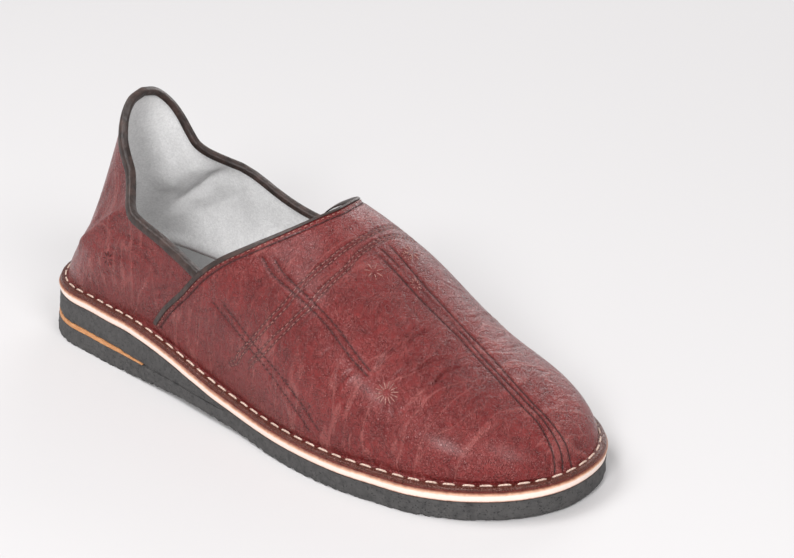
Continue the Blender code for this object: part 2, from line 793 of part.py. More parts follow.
leather = material("burgundy_leather", (0.16, 0.035, 0.035), 0.42)
pale_leather = material("pale_leather", (0.83, 0.62, 0.50), 0.6)
tan_leather = material("tan_leather", (0.62, 0.30, 0.12), 0.6)
dark_leather = material("dark_leather", (0.035, 0.022, 0.018), 0.5)
suede = material("grey_suede", (0.55, 0.55, 0.56), 0.95)
rubber = material("black_rubber", (0.03, 0.032, 0.034), 0.75)

make_outsole()
make_heel_layers()
make_midsole()
make_insole()
inner_face = upper_grids()
make_upper(inner_face)
make_collar_binding(inner_face)
make_vamp_binding(inner_face)

bpy.context.view_layer.update()
corners = np.array([
    tuple(piece.matrix_world @ vertex.co)
    for piece in shoe.objects
    if piece.type == "MESH"
    for vertex in piece.evaluated_get(bpy.context.evaluated_depsgraph_get()).data.vertices
])
low, high = corners.min(axis=0), corners.max(axis=0)
root.location = (-(low[0] + high[0]) / 2, -(low[1] + high[1]) / 2, -low[2])
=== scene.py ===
# %% [markdown]
# A leather slipper: the right shoe of a pair, with a burgundy vamp, a tall tab at the heel, dark bindings,
# a pale stitched midsole and a layered rubber sole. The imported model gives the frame: its solids hold the
# true shape and place of each layer. This script dresses them, one piece after another, with finer meshes
# and with finishes made from nodes. Everything is in metres, with the toe towards +X and +Z up.

# %% Load the frame
import math

import bmesh
import bpy
import numpy as np
from mathutils import Matrix, Vector


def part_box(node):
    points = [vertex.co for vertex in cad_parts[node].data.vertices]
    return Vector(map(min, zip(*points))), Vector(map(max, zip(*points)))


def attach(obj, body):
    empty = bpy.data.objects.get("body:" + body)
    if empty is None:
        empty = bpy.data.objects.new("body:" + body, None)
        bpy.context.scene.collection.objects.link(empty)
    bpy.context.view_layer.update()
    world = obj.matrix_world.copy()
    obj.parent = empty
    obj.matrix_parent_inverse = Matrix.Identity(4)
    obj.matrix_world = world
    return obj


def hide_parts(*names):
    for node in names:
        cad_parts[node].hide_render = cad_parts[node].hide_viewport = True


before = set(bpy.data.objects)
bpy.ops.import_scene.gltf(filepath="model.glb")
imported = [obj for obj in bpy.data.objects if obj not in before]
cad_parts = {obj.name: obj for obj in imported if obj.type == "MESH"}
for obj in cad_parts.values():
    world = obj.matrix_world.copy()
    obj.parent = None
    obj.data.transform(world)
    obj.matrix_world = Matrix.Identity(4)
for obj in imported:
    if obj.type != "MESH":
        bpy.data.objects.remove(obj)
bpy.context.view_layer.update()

print("nodes:", sorted(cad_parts))

# %% [markdown]
# All shapes below are worked out in the shoe's own frame, whose heel is at X = 0 on the ground. The frame
# that the model is packed in has its origin under the middle of the shoe, so one shift takes the points
# there. The midsole is the layer that follows the outline exactly, so its box gives that shift and the
# length of the shoe.

# %% Sizes of the shoe
midsole_low, midsole_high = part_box("midsole")
LENGTH = midsole_high.x - midsole_low.x
BALL_WIDTH = 0.1004
HEEL_WIDTH = 0.0746

HEEL_HEIGHT = 0.0197
FOREFOOT_HEIGHT = 0.0079
MIDSOLE_THICKNESS = 0.0041
STRIPE_THICKNESS = 0.0018
TOE_SPRING = 0.0013
ARCH_LIFT = 0.0022
HEEL_FLARE = 0.0024
RIB_PITCH = 0.0105
GROOVE_WIDTH = 0.0026
GROOVE_DEPTH = 0.0011
TREAD_MARGIN = 0.0128
GAP = 0.0003

INSTEP_HEIGHT = 0.0750
TAB_HEIGHT = 0.0902
FLANGE_WIDTH = 0.0042
FLANGE_BEND = 0.0030
WALL = 0.0017
OVERLAP_STEP = 0.0010
FOOT_INSET = FLANGE_WIDTH + WALL

OUTER, INNER = -1, 1
SIDES = (OUTER, INNER)
SIDE_NAMES = {OUTER: "outer", INNER: "inner"}
print(f"length of the sole {LENGTH * 1000:.1f} mm")

# %% [markdown]
# The last has no straight line anywhere, so its forms are kept as short tables of shares: a row for each
# section that matters, and a smooth curve through the rows. A cubic curve whose slope at each row is the
# harmonic mean of its neighbours' slopes never overshoots, so a bulge in the table doesn't make a second
# bulge beside it.

# %% Curves through tables
def column(table, name):
    """One named column of a table, as an array."""
    place = table[0].index(name)
    return np.array([row[place] for row in table[1:]], dtype=float)


def lookup(table, key, name, at):
    """Column `name` at places `at` of column `key`: cubic pieces with harmonic mean slopes at the rows."""
    x = column(table, key)
    y = column(table, name)
    slope = np.diff(y) / np.diff(x)
    tangent = np.zeros_like(y)
    same_way = slope[:-1] * slope[1:] > 0
    mean = 2 * slope[:-1] * slope[1:] / np.where(same_way, slope[:-1] + slope[1:], 1)
    tangent[1:-1] = np.where(same_way, mean, 0)
    tangent[0] = slope[0]
    tangent[-1] = slope[-1]
    at = np.clip(np.asarray(at, dtype=float), x[0], x[-1])
    k = np.clip(np.searchsorted(x, at, side="right") - 1, 0, len(x) - 2)
    step = x[k + 1] - x[k]
    s = (at - x[k]) / step
    rise = y[k] * (1 + 2 * s) * (1 - s) ** 2 + y[k + 1] * s**2 * (3 - 2 * s)
    return rise + step * (tangent[k] * s * (1 - s) ** 2 - tangent[k + 1] * s**2 * (1 - s))


def smoothstep(low, high, x):
    """0 below low, 1 above high, and 3s^2 - 2s^3 of the share s between them."""
    s = np.clip((np.asarray(x, dtype=float) - low) / (high - low), 0, 1)
    return s * s * (3 - 2 * s)


def mix(a, b, share):
    """a + (b - a) * share."""
    return a + (b - a) * share


def unit(vectors):
    """Each vector divided by its length."""
    return vectors / np.maximum(np.linalg.norm(vectors, axis=-1, keepdims=True), 1e-12)


def lengths(line):
    """Length along a line from its first point to each point: the steps' lengths added up."""
    steps = np.linalg.norm(np.diff(line, axis=0), axis=-1)
    return np.concatenate([np.zeros((1, *steps.shape[1:])), np.cumsum(steps, axis=0)])


def along(at, length, values):
    """The rows of values at lengths `at`, straight between the rows."""
    return np.stack([np.interp(at, length, values[:, k]) for k in range(values.shape[1])], axis=-1)


# %% [markdown]
# The sole's outline comes from two tables of half widths, one for each side, because a foot is not the same
# on both. A superellipse with a power a little over 2 closes it round the heel and the toe: a plain ellipse
# looks too pointed there. The sole's long profile is a few smooth steps: heel, waist, forefoot, toe spring.

# %% Outline of the sole
HEEL_END = 0.20
BALL_START = 0.68
OUTLINE = (
    ("t", "outer", "inner"),
    (0.00, 0.477, 0.489),
    (0.10, 0.474, 0.488),
    (0.20, 0.516, 0.484),
    (0.30, 0.548, 0.464),
    (0.40, 0.553, 0.444),
    (0.50, 0.546, 0.418),
    (0.60, 0.566, 0.418),
    (0.70, 0.575, 0.425),
    (0.80, 0.543, 0.434),
    (0.90, 0.485, 0.437),
    (1.00, 0.428, 0.428),
)
HEEL_ROUNDING = 0.12
TOE_ROUNDING = 0.19
ROUNDING_POWER = 2.2
OUTLINE_POINTS = 900

HEEL_SLOPE = (0.22, 0.55)
TOE_SPRING_FROM = 0.8
TOE_SPRING_RUN = 0.2


def half_width(t, side):
    """Half width at share t: local width times the table's share, closed by a superellipse at both ends."""
    local = mix(HEEL_WIDTH, BALL_WIDTH, smoothstep(HEEL_END, BALL_START, t))
    width = local * lookup(OUTLINE, "t", SIDE_NAMES[side], t)
    from_end = np.minimum(np.clip(t / HEEL_ROUNDING, 0, 1), np.clip((1 - t) / TOE_ROUNDING, 0, 1))
    return width * (1 - (1 - from_end) ** ROUNDING_POWER) ** (1 / ROUNDING_POWER)


def outline_side(side):
    """Points and outward directions from heel to toe, at t = (1 - cos u) / 2 so that the ends are dense."""
    t = (1 - np.cos(np.linspace(0, math.pi, OUTLINE_POINTS))) / 2
    points = np.stack([t * LENGTH, side * half_width(t, side)], axis=1)
    run = np.gradient(points, axis=0)
    run[0] = (0, side)
    run[-1] = (0, -side)
    return points, unit(np.stack([-side * run[:, 1], side * run[:, 0]], axis=1))


OUTLINES = {side: outline_side(side) for side in SIDES}


def offset_side(side, outward):
    """One side of the outline moved along its outward directions."""
    points, out = OUTLINES[side]
    return points + out * np.reshape(outward, (-1, 1))


def width_at(side, outward, x):
    """Y of the moved outline at places x."""
    moved = offset_side(side, outward)
    return np.interp(x, moved[:, 0], moved[:, 1])


def toe_spring(t):
    """Height that the sole curls up before the toe: a square law over its last fifth."""
    return TOE_SPRING * np.clip((np.asarray(t) - TOE_SPRING_FROM) / TOE_SPRING_RUN, 0, 1) ** 2


def rubber_top(t):
    """Top of the rubber: the heel's height falls to the forefoot's along a smooth step."""
    return mix(HEEL_HEIGHT, FOREFOOT_HEIGHT, smoothstep(*HEEL_SLOPE, t)) + toe_spring(t)


def seat(x):
    """Height of the plane that the upper is sewn down on, at places x."""
    return rubber_top(np.clip(np.asarray(x) / LENGTH, 0, 1)) + MIDSOLE_THICKNESS + 2 * GAP


SHIFT = np.array([midsole_low.x, midsole_low.y + half_width(np.linspace(0, 1, 2001), OUTER).max(), 0])
print("shift of the shoe's own frame in mm:", np.round(SHIFT * 1000, 2))

# %% [markdown]
# A grid of points becomes a mesh without a loop over its points: the quads of a grid follow from its counts
# alone. Pieces that close on themselves repeat their first line, and points in one place are then merged,
# which also closes the poles at heel and toe.

# %% Meshes from grids
MERGE_DISTANCE = 2e-6
SHARP_ANGLE = 40


def grid_quads(rows, columns, start=0, flip=False):
    """Corner numbers of the quads of a grid stored row by row."""
    corner = start + np.arange(rows - 1)[:, None] * columns + np.arange(columns - 1)[None, :]
    quads = np.stack([corner, corner + 1, corner + columns + 1, corner + columns], axis=-1).reshape(-1, 4)
    return quads[:, ::-1] if flip else quads


def build(name, points, faces, looks, slots=None, attributes=None, outward=False):
    """An object from points in the shoe's frame. slots: a material number for each face. attributes: values
    for each point. outward: turn the faces of a closed piece outwards."""
    mesh = bpy.data.meshes.new(name)
    mesh.from_pydata((np.asarray(points) + SHIFT).tolist(), [], [list(f) for f in faces])
    for look in looks:
        mesh.materials.append(look)
    if slots is not None:
        mesh.polygons.foreach_set("material_index", np.asarray(slots, dtype=np.int32))
    for key, values in (attributes or {}).items():
        layer = mesh.attributes.new(key, "FLOAT", "POINT")
        layer.data.foreach_set("value", np.asarray(values, dtype=np.float32))
    shape = bmesh.new()
    shape.from_mesh(mesh)
    bmesh.ops.remove_doubles(shape, verts=shape.verts, dist=MERGE_DISTANCE)
    bmesh.ops.dissolve_degenerate(shape, dist=MERGE_DISTANCE, edges=shape.edges)
    if outward:
        bmesh.ops.recalc_face_normals(shape, faces=shape.faces)
    shape.to_mesh(mesh)
    shape.free()
    mesh.shade_smooth()
    mesh.set_sharp_from_angle(angle=math.radians(SHARP_ANGLE))
    made = bpy.data.objects.new(name, mesh)
    bpy.context.scene.collection.objects.link(made)
    triangles = sum(len(p.vertices) - 2 for p in mesh.polygons)
    print(f"{name}: {len(mesh.vertices)} points, {triangles} triangles")
    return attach(made, "root")


def ring_piece(name, rings, looks, attributes=None):
    """A closed piece through closed rings, an array of (stations, ring, 3), with a cap at both ends."""
    count, size = rings.shape[:2]
    closed = np.concatenate([rings, rings[:, :1]], axis=1)
    faces = grid_quads(count, size + 1).tolist()
    last = (count - 1) * (size + 1)
    faces.append(list(range(size))[::-1])
    faces.append([last + k for k in range(size)])
    flat = {}
    for key, values in (attributes or {}).items():
        flat[key] = np.concatenate([values, values[:, :1]], axis=1).ravel()
    return build(name, closed.reshape(-1, 3), faces, looks, attributes=flat, outward=True)


# %% [markdown]
# Finishes are made from nodes. To write their sums as sums, one small class wraps a node's output: adding
# or multiplying two of them adds a Math node to the material, and its method `make` adds any other node.

# %% Sums on nodes
class Link:
    """One value inside a material."""

    def __init__(self, tree, socket=None):
        self.tree = tree
        self.socket = socket

    def make(self, kind, inputs=None, settings=None, out=0, stops=None):
        """A new node of that kind: its settings first, a ramp's stops, then its inputs, and one output."""
        node = self.tree.nodes.new(kind)
        for key, value in (settings or {}).items():
            setattr(node, key, value)
        if stops:
            ramp = node.color_ramp
            while len(ramp.elements) < len(stops):
                ramp.elements.new(1)
            for element, (place, colour) in zip(ramp.elements, stops):
                element.position = place
                element.color = (*colour, 1)
        for key, value in (inputs or {}).items():
            if isinstance(value, Link):
                self.tree.links.new(value.socket, node.inputs[key])
            else:
                node.inputs[key].default_value = value
        return Link(self.tree, node.outputs[out])

    def math(self, operation, first, second):
        """A Math node on two values."""
        return self.make("ShaderNodeMath", {0: first, 1: second}, {"operation": operation})

    def __add__(self, other):
        return self.math("ADD", self, other)

    def __sub__(self, other):
        return self.math("SUBTRACT", self, other)

    def __rsub__(self, other):
        return self.math("SUBTRACT", other, self)

    def __mul__(self, other):
        return self.math("MULTIPLY", self, other)

    __radd__ = __add__
    __rmul__ = __mul__

    def between(self, low, high, start=0.0, end=1.0):
        """start below low, end above high, smooth between them."""
        values = {"Value": self, "From Min": low, "From Max": high, "To Min": start, "To Max": end}
        return self.make("ShaderNodeMapRange", values, {"interpolation_type": "SMOOTHSTEP"})

    def noise(self, scale, detail=3.0, roughness=0.55, distortion=0.0):
        """Cloudy values from 0 to 1 on this vector. scale: blobs in a metre."""
        values = {"Vector": self, "Scale": scale, "Detail": detail, "Roughness": roughness}
        values["Distortion"] = distortion
        return self.make("ShaderNodeTexNoise", values)

    def cells(self, scale, feature="F1", randomness=1.0):
        """Distance inside Voronoi cells on this vector."""
        values = {"Vector": self, "Scale": scale, "Randomness": randomness}
        return self.make("ShaderNodeTexVoronoi", values, {"feature": feature})

    def stretched(self, scale, turn=0.0):
        """This vector turned about the vertical, then with each axis multiplied by its own factor."""
        turned = self.make("ShaderNodeMapping", {"Vector": self, "Rotation": (0.0, 0.0, turn)})
        return turned.make("ShaderNodeMapping", {"Vector": turned, "Scale": scale})

    def tint(self, first, second):
        """The colour first where this value is 0, second where it is 1."""
        values = {0: self, 6: first, 7: second}
        return self.make("ShaderNodeMix", values, {"data_type": "RGBA"}, out=2)


def colour(red, green, blue):
    """A colour socket's value."""
    return (red, green, blue, 1.0)


def new_look(name, roughness, coat=0.0, coat_roughness=0.3):
    """An empty material: its material, its Principled node, and Object coordinates as a Link."""
    made = bpy.data.materials.new(name)
    made.use_nodes = True
    tree = made.node_tree
    shader = tree.nodes["Principled BSDF"]
    shader.inputs["Roughness"].default_value = roughness
    shader.inputs["Coat Weight"].default_value = coat
    shader.inputs["Coat Roughness"].default_value = coat_roughness
    place = Link(tree).make("ShaderNodeTexCoord", out="Object")
    return made, shader, place


def plug(shader, socket, link):
    """Joins a Link to one of the Principled node's sockets."""
    link.tree.links.new(link.socket, shader.inputs[socket])


def relief(height, depth, strength=1.0, under=None):
    """A Bump node whose height runs from 0 to 1 over a depth in metres."""
    values = {"Height": height, "Distance": depth, "Strength": strength}
    if under is not None:
        values["Normal"] = under
    return height.make("ShaderNodeBump", values)


def attribute(place, name):
    """A value stored on the mesh's points."""
    return place.make("ShaderNodeAttribute", settings={"attribute_name": name}, out="Fac")


# %% [markdown]
# The vamp and the quarter are soft full-grain leather, dyed through and rubbed with wax. Four things show:
# clouds of dye, a pebbled grain, thin veins along its folds, whose ridges are painted paler as a painted
# highlight of the gloss, and painted shade in the sewn grooves. A vein is where a noise crosses its middle
# value, so each one is the noise's distance from a half, cut off near 0. The meshes carry two values of their
# own: dark, painted shade along seams, creases and folds, and rim, where the flange was left browner at its
# cut edge.

# %% Burgundy leather
def middle_lines(noise, width):
    """1 where a noise crosses its middle value, 0 where it is further from it than width."""
    off = noise - 0.5
    return 1.0 - off.math("ABSOLUTE", off, 0.0).between(0.0, width)


def burgundy_leather():
    """Soft full-grain leather: clouded colour, pebbled grain, small wrinkles with a painted highlight, and
    painted shade in its sewn grooves.
    """
    made, shader, place = new_look("burgundy_leather", 0.42, coat=0.11, coat_roughness=0.22)
    shader.inputs["Specular IOR Level"].default_value = 0.46
    shader.inputs["Specular Tint"].default_value = colour(1.0, 0.80, 0.78)
    clouds = place.noise(26.0, 4.0, 0.6)
    mottle = place.noise(170.0, 4.0, 0.65)
    grain = place.noise(460.0, 3.0, 0.6, 0.8)
    vein = middle_lines(place.stretched((1.5, 0.30, 0.32), 0.25).noise(64.0, 2.5, 0.5, 0.25), 0.034)
    vein = vein * place.noise(24.0, 2.0, 0.5).between(0.36, 0.55)
    fine = middle_lines(place.stretched((1.3, 0.70, 0.75), -0.2).noise(190.0, 3.0, 0.6, 0.5), 0.060)
    pores = place.cells(950.0, "DISTANCE_TO_EDGE").between(0.0, 0.14)
    tone = (clouds * 0.36 + mottle * 0.34 + grain * 0.30).between(0.34, 0.66)
    skin = tone.tint(colour(0.100, 0.0085, 0.0095), colour(0.205, 0.024, 0.023))
    # Painted highlight: the wrinkles' ridges are painted paler, where the gloss would catch the light.
    skin = (vein * 0.52 + fine * 0.20).tint(skin, colour(0.310, 0.085, 0.077))
    # Painted shade: the attribute dark darkens the leather along the sewn grooves, the creases and the folds.
    dark = attribute(place, "dark").between(0.0, 1.0)
    skin = (dark * 0.9).tint(skin, colour(0.030, 0.006, 0.007))
    rim = attribute(place, "rim").between(0.0, 1.0)
    skin = (rim * 0.85).tint(skin, colour(0.080, 0.022, 0.012))
    plug(shader, "Base Color", skin)
    folds = relief(vein * 0.4 + fine * 0.4 + mottle * 0.2, 0.0009, 0.9)
    plug(shader, "Normal", relief(grain * 0.8 + pores * 0.2, 0.0008, under=folds))
    plug(shader, "Roughness", (mottle * 0.5 + grain * 0.5).between(0.3, 0.75, 0.24, 0.40))
    return made


leather = burgundy_leather()

# %% [markdown]
# Most other materials of a shoe are two tones of one colour: suede with its nap, waxed thread with its
# strands, rubber with its pits. So one function makes them all from a pattern, which gives the share of
# the paler tone and the height of the relief. The noises' scales are blobs in a metre: about 900 for a nap
# that is felt more than seen, about 60 for patches as wide as a brush's stroke.

# %% Two-tone finishes
def two_tone(name, pattern, dark, pale, roughness, depth, strength):
    """A finish whose pattern gives the share of its pale tone and the height of its relief."""
    made, shader, place = new_look(name, roughness)
    tone, height = pattern(place)
    plug(shader, "Base Color", tone.tint(colour(*dark), colour(*pale)))
    plug(shader, "Normal", relief(height, depth, strength))
    return made


def nap(place):
    """Short nap, and patches brushed the other way."""
    patches = place.noise(60.0, 5.0, 0.65)
    hairs = place.noise(900.0, 4.0, 0.75)
    return (patches * 0.45 + hairs * 0.55).between(0.3, 0.7), hairs * 0.7 + patches * 0.3


def worn_strip(place):
    """Thin leather, paler where it is rubbed, and a little lumpy."""
    return place.noise(240.0, 4.0, 0.6).between(0.35, 0.75), place.noise(420.0, 4.0, 0.6)


def strands(place):
    """The strands of a twisted thread."""
    twist = place.noise(1800.0, 2.0, 0.5)
    return twist.between(0.3, 0.7), twist


def pits(place):
    """Cells of cut rubber, and the marks of sanding."""
    holes = place.cells(900.0).between(0.0, 0.35)
    rub = place.noise(300.0, 5.0, 0.7)
    return (rub * 0.7 + holes * 0.3).between(0.35, 0.75), rub * 0.6 + holes * 0.4


def fibres(place):
    """Fibres along a cut strip of leather."""
    fibre = place.stretched((1.0, 1.0, 6.0)).noise(400.0, 3.0, 0.6)
    return fibre.between(0.3, 0.7), fibre


SUEDE = (0.95, 0.0006, 0.8)
THREAD = (0.6, 0.0002, 0.6)
suede = two_tone("lining_suede", nap, (0.66, 0.655, 0.655), (0.90, 0.895, 0.895), *SUEDE)
# The insole's suede is darker than the lining's: painted shade, as the insole lies deep in the shoe.
insole_suede = two_tone("insole_suede", nap, (0.24, 0.237, 0.237), (0.33, 0.327, 0.327), *SUEDE)
STRIP = (0.45, 0.0007, 0.8)
binding = two_tone("binding_leather", worn_strip, (0.020, 0.012, 0.010), (0.060, 0.034, 0.028), *STRIP)
pale_thread = two_tone("pale_thread", strands, (0.42, 0.27, 0.21), (0.74, 0.58, 0.49), *THREAD)
rose_thread = two_tone("rose_thread", strands, (0.13, 0.040, 0.034), (0.46, 0.23, 0.19), *THREAD)
band_thread = two_tone("band_thread", strands, (0.12, 0.034, 0.030), (0.43, 0.20, 0.17), *THREAD)
dark_thread = two_tone("dark_thread", strands, (0.022, 0.005, 0.005), (0.055, 0.012, 0.012), *THREAD)
rubber = two_tone("black_rubber", pits, (0.015, 0.015, 0.016), (0.067, 0.064, 0.063), 0.72, 0.0012, 0.9)
stripe = two_tone("tan_stripe", fibres, (0.42, 0.17, 0.06), (0.62, 0.30, 0.13), 0.6, 0.0002, 0.4)
print("finishes:", [made.name for made in bpy.data.materials])

# %% [markdown]
# The midsole is pale leather. Its upper rim is burnished brown with a hot iron, and its foot is stained by
# glue and rubber. The shade depends on the height alone, so the mesh carries that height, the attribute
# high, to a ramp of colours, and a fine noise moves the ramp so that its borders don't look ruled.

# %% Midsole leather
EDGE_COLOURS = (
    (0.00, (0.16, 0.060, 0.035)),
    (0.09, (0.50, 0.25, 0.17)),
    (0.22, (0.93, 0.74, 0.65)),
    (0.66, (0.97, 0.82, 0.74)),
    (0.82, (0.72, 0.42, 0.28)),
    (0.94, (0.27, 0.100, 0.055)),
    (1.00, (0.14, 0.045, 0.030)),
)
EDGE_WANDER = 0.16


def midsole_leather():
    """Pale leather with a burnished rim: a ramp over the height, moved a little by spots."""
    made, shader, place = new_look("midsole_leather", 0.5, coat=0.1)
    spots = place.noise(500.0, 3.0, 0.6)
    moved = attribute(place, "high") + (spots - 0.5) * EDGE_WANDER
    plug(shader, "Base Color", moved.make("ShaderNodeValToRGB", {"Fac": moved}, stops=EDGE_COLOURS))
    plug(shader, "Normal", relief(spots, 0.00015, 0.5))
    return made


pale_edge = midsole_leather()
print("midsole shades:", len(EDGE_COLOURS))

# %% [markdown]
# The sole is layered. Each layer is a ring of points carried from heel to toe, and each ring has a few
# levels: how far the edge stands outside the outline, and at what height. The rubber was cut with a knife
# and sanded, so its side is not smooth, and its lower edge is nicked where the tread's grooves come out.

# %% Sole layers
STRIPE_END = 0.275
WEDGE_END = 0.487
FLARE_FADE = (0.12, 0.38)
FLARE_AT_OUTSOLE = 0.6
FLARE_AT_STRIPE = 0.5
ARCH_START = 0.18
ARCH_RUN = 0.44
WEDGE_FADE = (0.45, 0.50)
STRIPE_FADE = 0.10
STRIPE_THIN = 0.25
STRIPE_FRONT = 0.006

WAVE_COUNT = 8
GROOVE_SLOPE = 0.0004
NICK_DEPTH = 0.0004
NICK_CHANGE = 0.0003
NICK_SLIP = 2.2
NICK_LOSS = 0.6
RUBBER_ROUGH = 0.00020
RUBBER_RIPPLE = 0.006
RUBBER_BAND = 0.012
UNDERCUT = 0.0004
TREAD_INSET = 0.0016
TREAD_STATIONS = np.linspace(0.03, 0.97, 700)


def flare(t):
    """How far the heel's rubber spreads at the ground."""
    return HEEL_FLARE * (1 - smoothstep(*FLARE_FADE, t))


def ground_face(t):
    """Underside without grooves: flat, arched at the waist, sprung at the toe."""
    arch = np.sin(math.pi * np.clip((np.asarray(t) - ARCH_START) / ARCH_RUN, 0, 1)) ** 2
    return ARCH_LIFT * arch + toe_spring(t)


def outsole_top(t):
    """Top of the outsole, up against the midsole where the wedge has ended."""
    return mix(FOREFOOT_HEIGHT + toe_spring(t), rubber_top(t), smoothstep(*WEDGE_FADE, t))


def waves(x, y, size, seed):
    """Even ripples of about -1 to 1 in every direction: a sum of sine waves with turned directions."""
    rng = np.random.default_rng(seed)
    turns = rng.uniform(0, math.pi, WAVE_COUNT)
    phases = rng.uniform(0, 7, WAVE_COUNT)
    stretches = rng.uniform(0.6, 1.6, WAVE_COUNT)
    total = 0
    for turn, phase, stretch in zip(turns, phases, stretches):
        ahead = x * math.cos(turn) + y * math.sin(turn)
        total = total + np.sin(ahead * 2 * math.pi / size * stretch + phase)
    return total / (WAVE_COUNT / 2)


def layer(name, looks, levels, start=0.0, end=1.0, count=520, extra=(), attributes=None):
    """A layer of the sole. levels: from the bottom up, each (outward, height), functions of t and side."""
    low = math.acos(1 - 2 * start)
    high = math.acos(1 - 2 * end)
    t = np.sort(np.concatenate([(1 - np.cos(np.linspace(low, high, count))) / 2, np.asarray(extra)]))
    halves = []
    for side in (INNER, OUTER):
        points, out = OUTLINES[side]
        at = along(t, points[:, 0] / LENGTH, points)
        way = unit(along(t, points[:, 0] / LENGTH, out))
        rows = []
        for outward, height in levels:
            moved = at + way * np.reshape(outward(t, side) + 0 * t, (-1, 1))
            rows.append(np.concatenate([moved, np.reshape(height(t, side) + 0 * t, (-1, 1))], axis=1))
        halves.append(np.stack(rows, axis=1))
    rings = np.concatenate([halves[0], halves[1][:, ::-1]], axis=1)
    given = {}
    for key, values in (attributes or {}).items():
        row = np.concatenate([values, values[::-1]])
        given[key] = np.tile(row, (len(t), 1))
    return ring_piece(name, rings, looks, given)


def groove_depth(t):
    """Depth of the tread's grooves along the sole: straight grooves with sloping sides at the rib pitch."""
    pitch = RIB_PITCH / LENGTH
    count = int((LENGTH - 2 * TREAD_MARGIN) / RIB_PITCH)
    place = (np.asarray(t) - 0.5) / pitch + (count - 1) / 2
    nearest = np.clip(np.round(place), 0, count - 1)
    off = np.abs(place - nearest) * RIB_PITCH
    return GROOVE_DEPTH * (1 - smoothstep(GROOVE_WIDTH / 2, GROOVE_WIDTH / 2 + GROOVE_SLOPE, off))


def edge_nicks(t, side):
    """Small nicks of the lower edge at half the ribs' pitch, uneven along the shoe."""
    x = t * LENGTH
    slip = NICK_SLIP * waves(x, 0 * x, 0.045, 5 + side)
    comb = np.cos(2 * math.pi * x / (RIB_PITCH / 2) + slip) * 0.5 + 0.5
    depth = NICK_DEPTH + NICK_CHANGE * waves(x, 0 * x, 0.017, 15 + side)
    return np.clip(depth, 0, None) * comb**3 * (1 - NICK_LOSS * smoothstep(0.80, 0.95, t))


def rubber_levels(bottom, top, out_bottom, out_top, rows, seed, nicks=False):
    """Levels of a rubber side between two heights, each with its own ripple outwards."""
    levels = []
    for k, share in enumerate(np.linspace(0, 1, rows)):
        def outward(t, side, share=share, k=k):
            ripple = RUBBER_ROUGH * waves(t * LENGTH, share * RUBBER_BAND + side, RUBBER_RIPPLE, seed + k % 3)
            return mix(out_bottom(t), out_top(t), share) + ripple - UNDERCUT * (share == 0)

        def height(t, side, share=share):
            low = bottom(t) + (edge_nicks(t, side) * (1 - share) ** 4 if nicks else 0)
            return mix(low, top(t), share)

        levels.append((outward, height))
    return levels


def tread_level(inset):
    """The underside with its grooves, a little inside the edge."""
    return (lambda t, side: flare(t) - inset, lambda t, side: ground_face(t) + groove_depth(t))


outsole_side = rubber_levels(
    lambda t: ground_face(t) + 0.3 * groove_depth(t), lambda t: outsole_top(t) + GAP / 2,
    flare, lambda t: FLARE_AT_OUTSOLE * flare(t), rows=9, seed=11, nicks=True,
)
outsole = layer("outsole_rubber", [rubber], [tread_level(TREAD_INSET)] + outsole_side, extra=TREAD_STATIONS)
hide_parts("outsole")


def wedge_bottom(t):
    """Underside of the wedge: over the stripe, then down on the outsole."""
    thin = STRIPE_THICKNESS * mix(1, STRIPE_THIN, smoothstep(STRIPE_END - STRIPE_FADE, STRIPE_END, t))
    under = (thin + 1.5 * GAP) * (1 - smoothstep(STRIPE_END, STRIPE_END + STRIPE_FRONT, t))
    return outsole_top(t) + GAP / 2 + under


wedge_side = rubber_levels(
    wedge_bottom, lambda t: rubber_top(t) + GAP / 2,
    lambda t: FLARE_AT_STRIPE * flare(t), lambda t: 0 * t, rows=7, seed=21,
)
wedge = layer("wedge_rubber", [rubber], wedge_side, end=WEDGE_END, count=420)
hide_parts("heel_wedge")


def dress(node, look):
    """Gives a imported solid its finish."""
    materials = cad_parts[node].data.materials
    materials.clear()
    materials.append(look)


dress("heel_stripe", stripe)

# %% [markdown]
# The midsole's edge was trimmed with a knife and pressed round by a hot iron, so it swells a little below
# its rim and both its borders are rounded. A table gives that profile, which is the same all round the
# shoe: how far it stands out at each share of its height.

# %% Midsole
MIDSOLE_RIPPLE = 0.00008
MIDSOLE_RIPPLE_SIZE = 0.02
MIDSOLE_PROFILE = (
    ("out", "height"),
    (-0.0010, 0.00),
    (-0.0002, 0.04),
    (0.0001, 0.14),
    (0.0002, 0.32),
    (0.0003, 0.52),
    (0.0005, 0.70),
    (0.0006, 0.82),
    (0.0004, 0.92),
    (0.0000, 0.98),
    (-0.0009, 1.00),
)
midsole_out = column(MIDSOLE_PROFILE, "out")
midsole_share = column(MIDSOLE_PROFILE, "height")
midsole_levels = [
    (lambda t, side, o=o: o + MIDSOLE_RIPPLE * waves(t * LENGTH, 0 * t + side, MIDSOLE_RIPPLE_SIZE, 31),
     lambda t, side, h=h: rubber_top(t) + GAP / 2 + (MIDSOLE_THICKNESS + GAP) * h)
    for o, h in zip(midsole_out, midsole_share)
]
midsole = layer("midsole_edge", [pale_edge], midsole_levels, count=620, attributes={"high": midsole_share})
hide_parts("midsole")

# %% [markdown]
# The upper is one skin over the last. Its inner face is a function of two parameters: how far along the
# foot line, and how far up the wall. Tables give the ridge, the rear edge of the vamp and the topline, and
# each cross-section is a superellipse over a wall that leans out a little. The outer face lies one wall
# outside the inner one, along its normals.

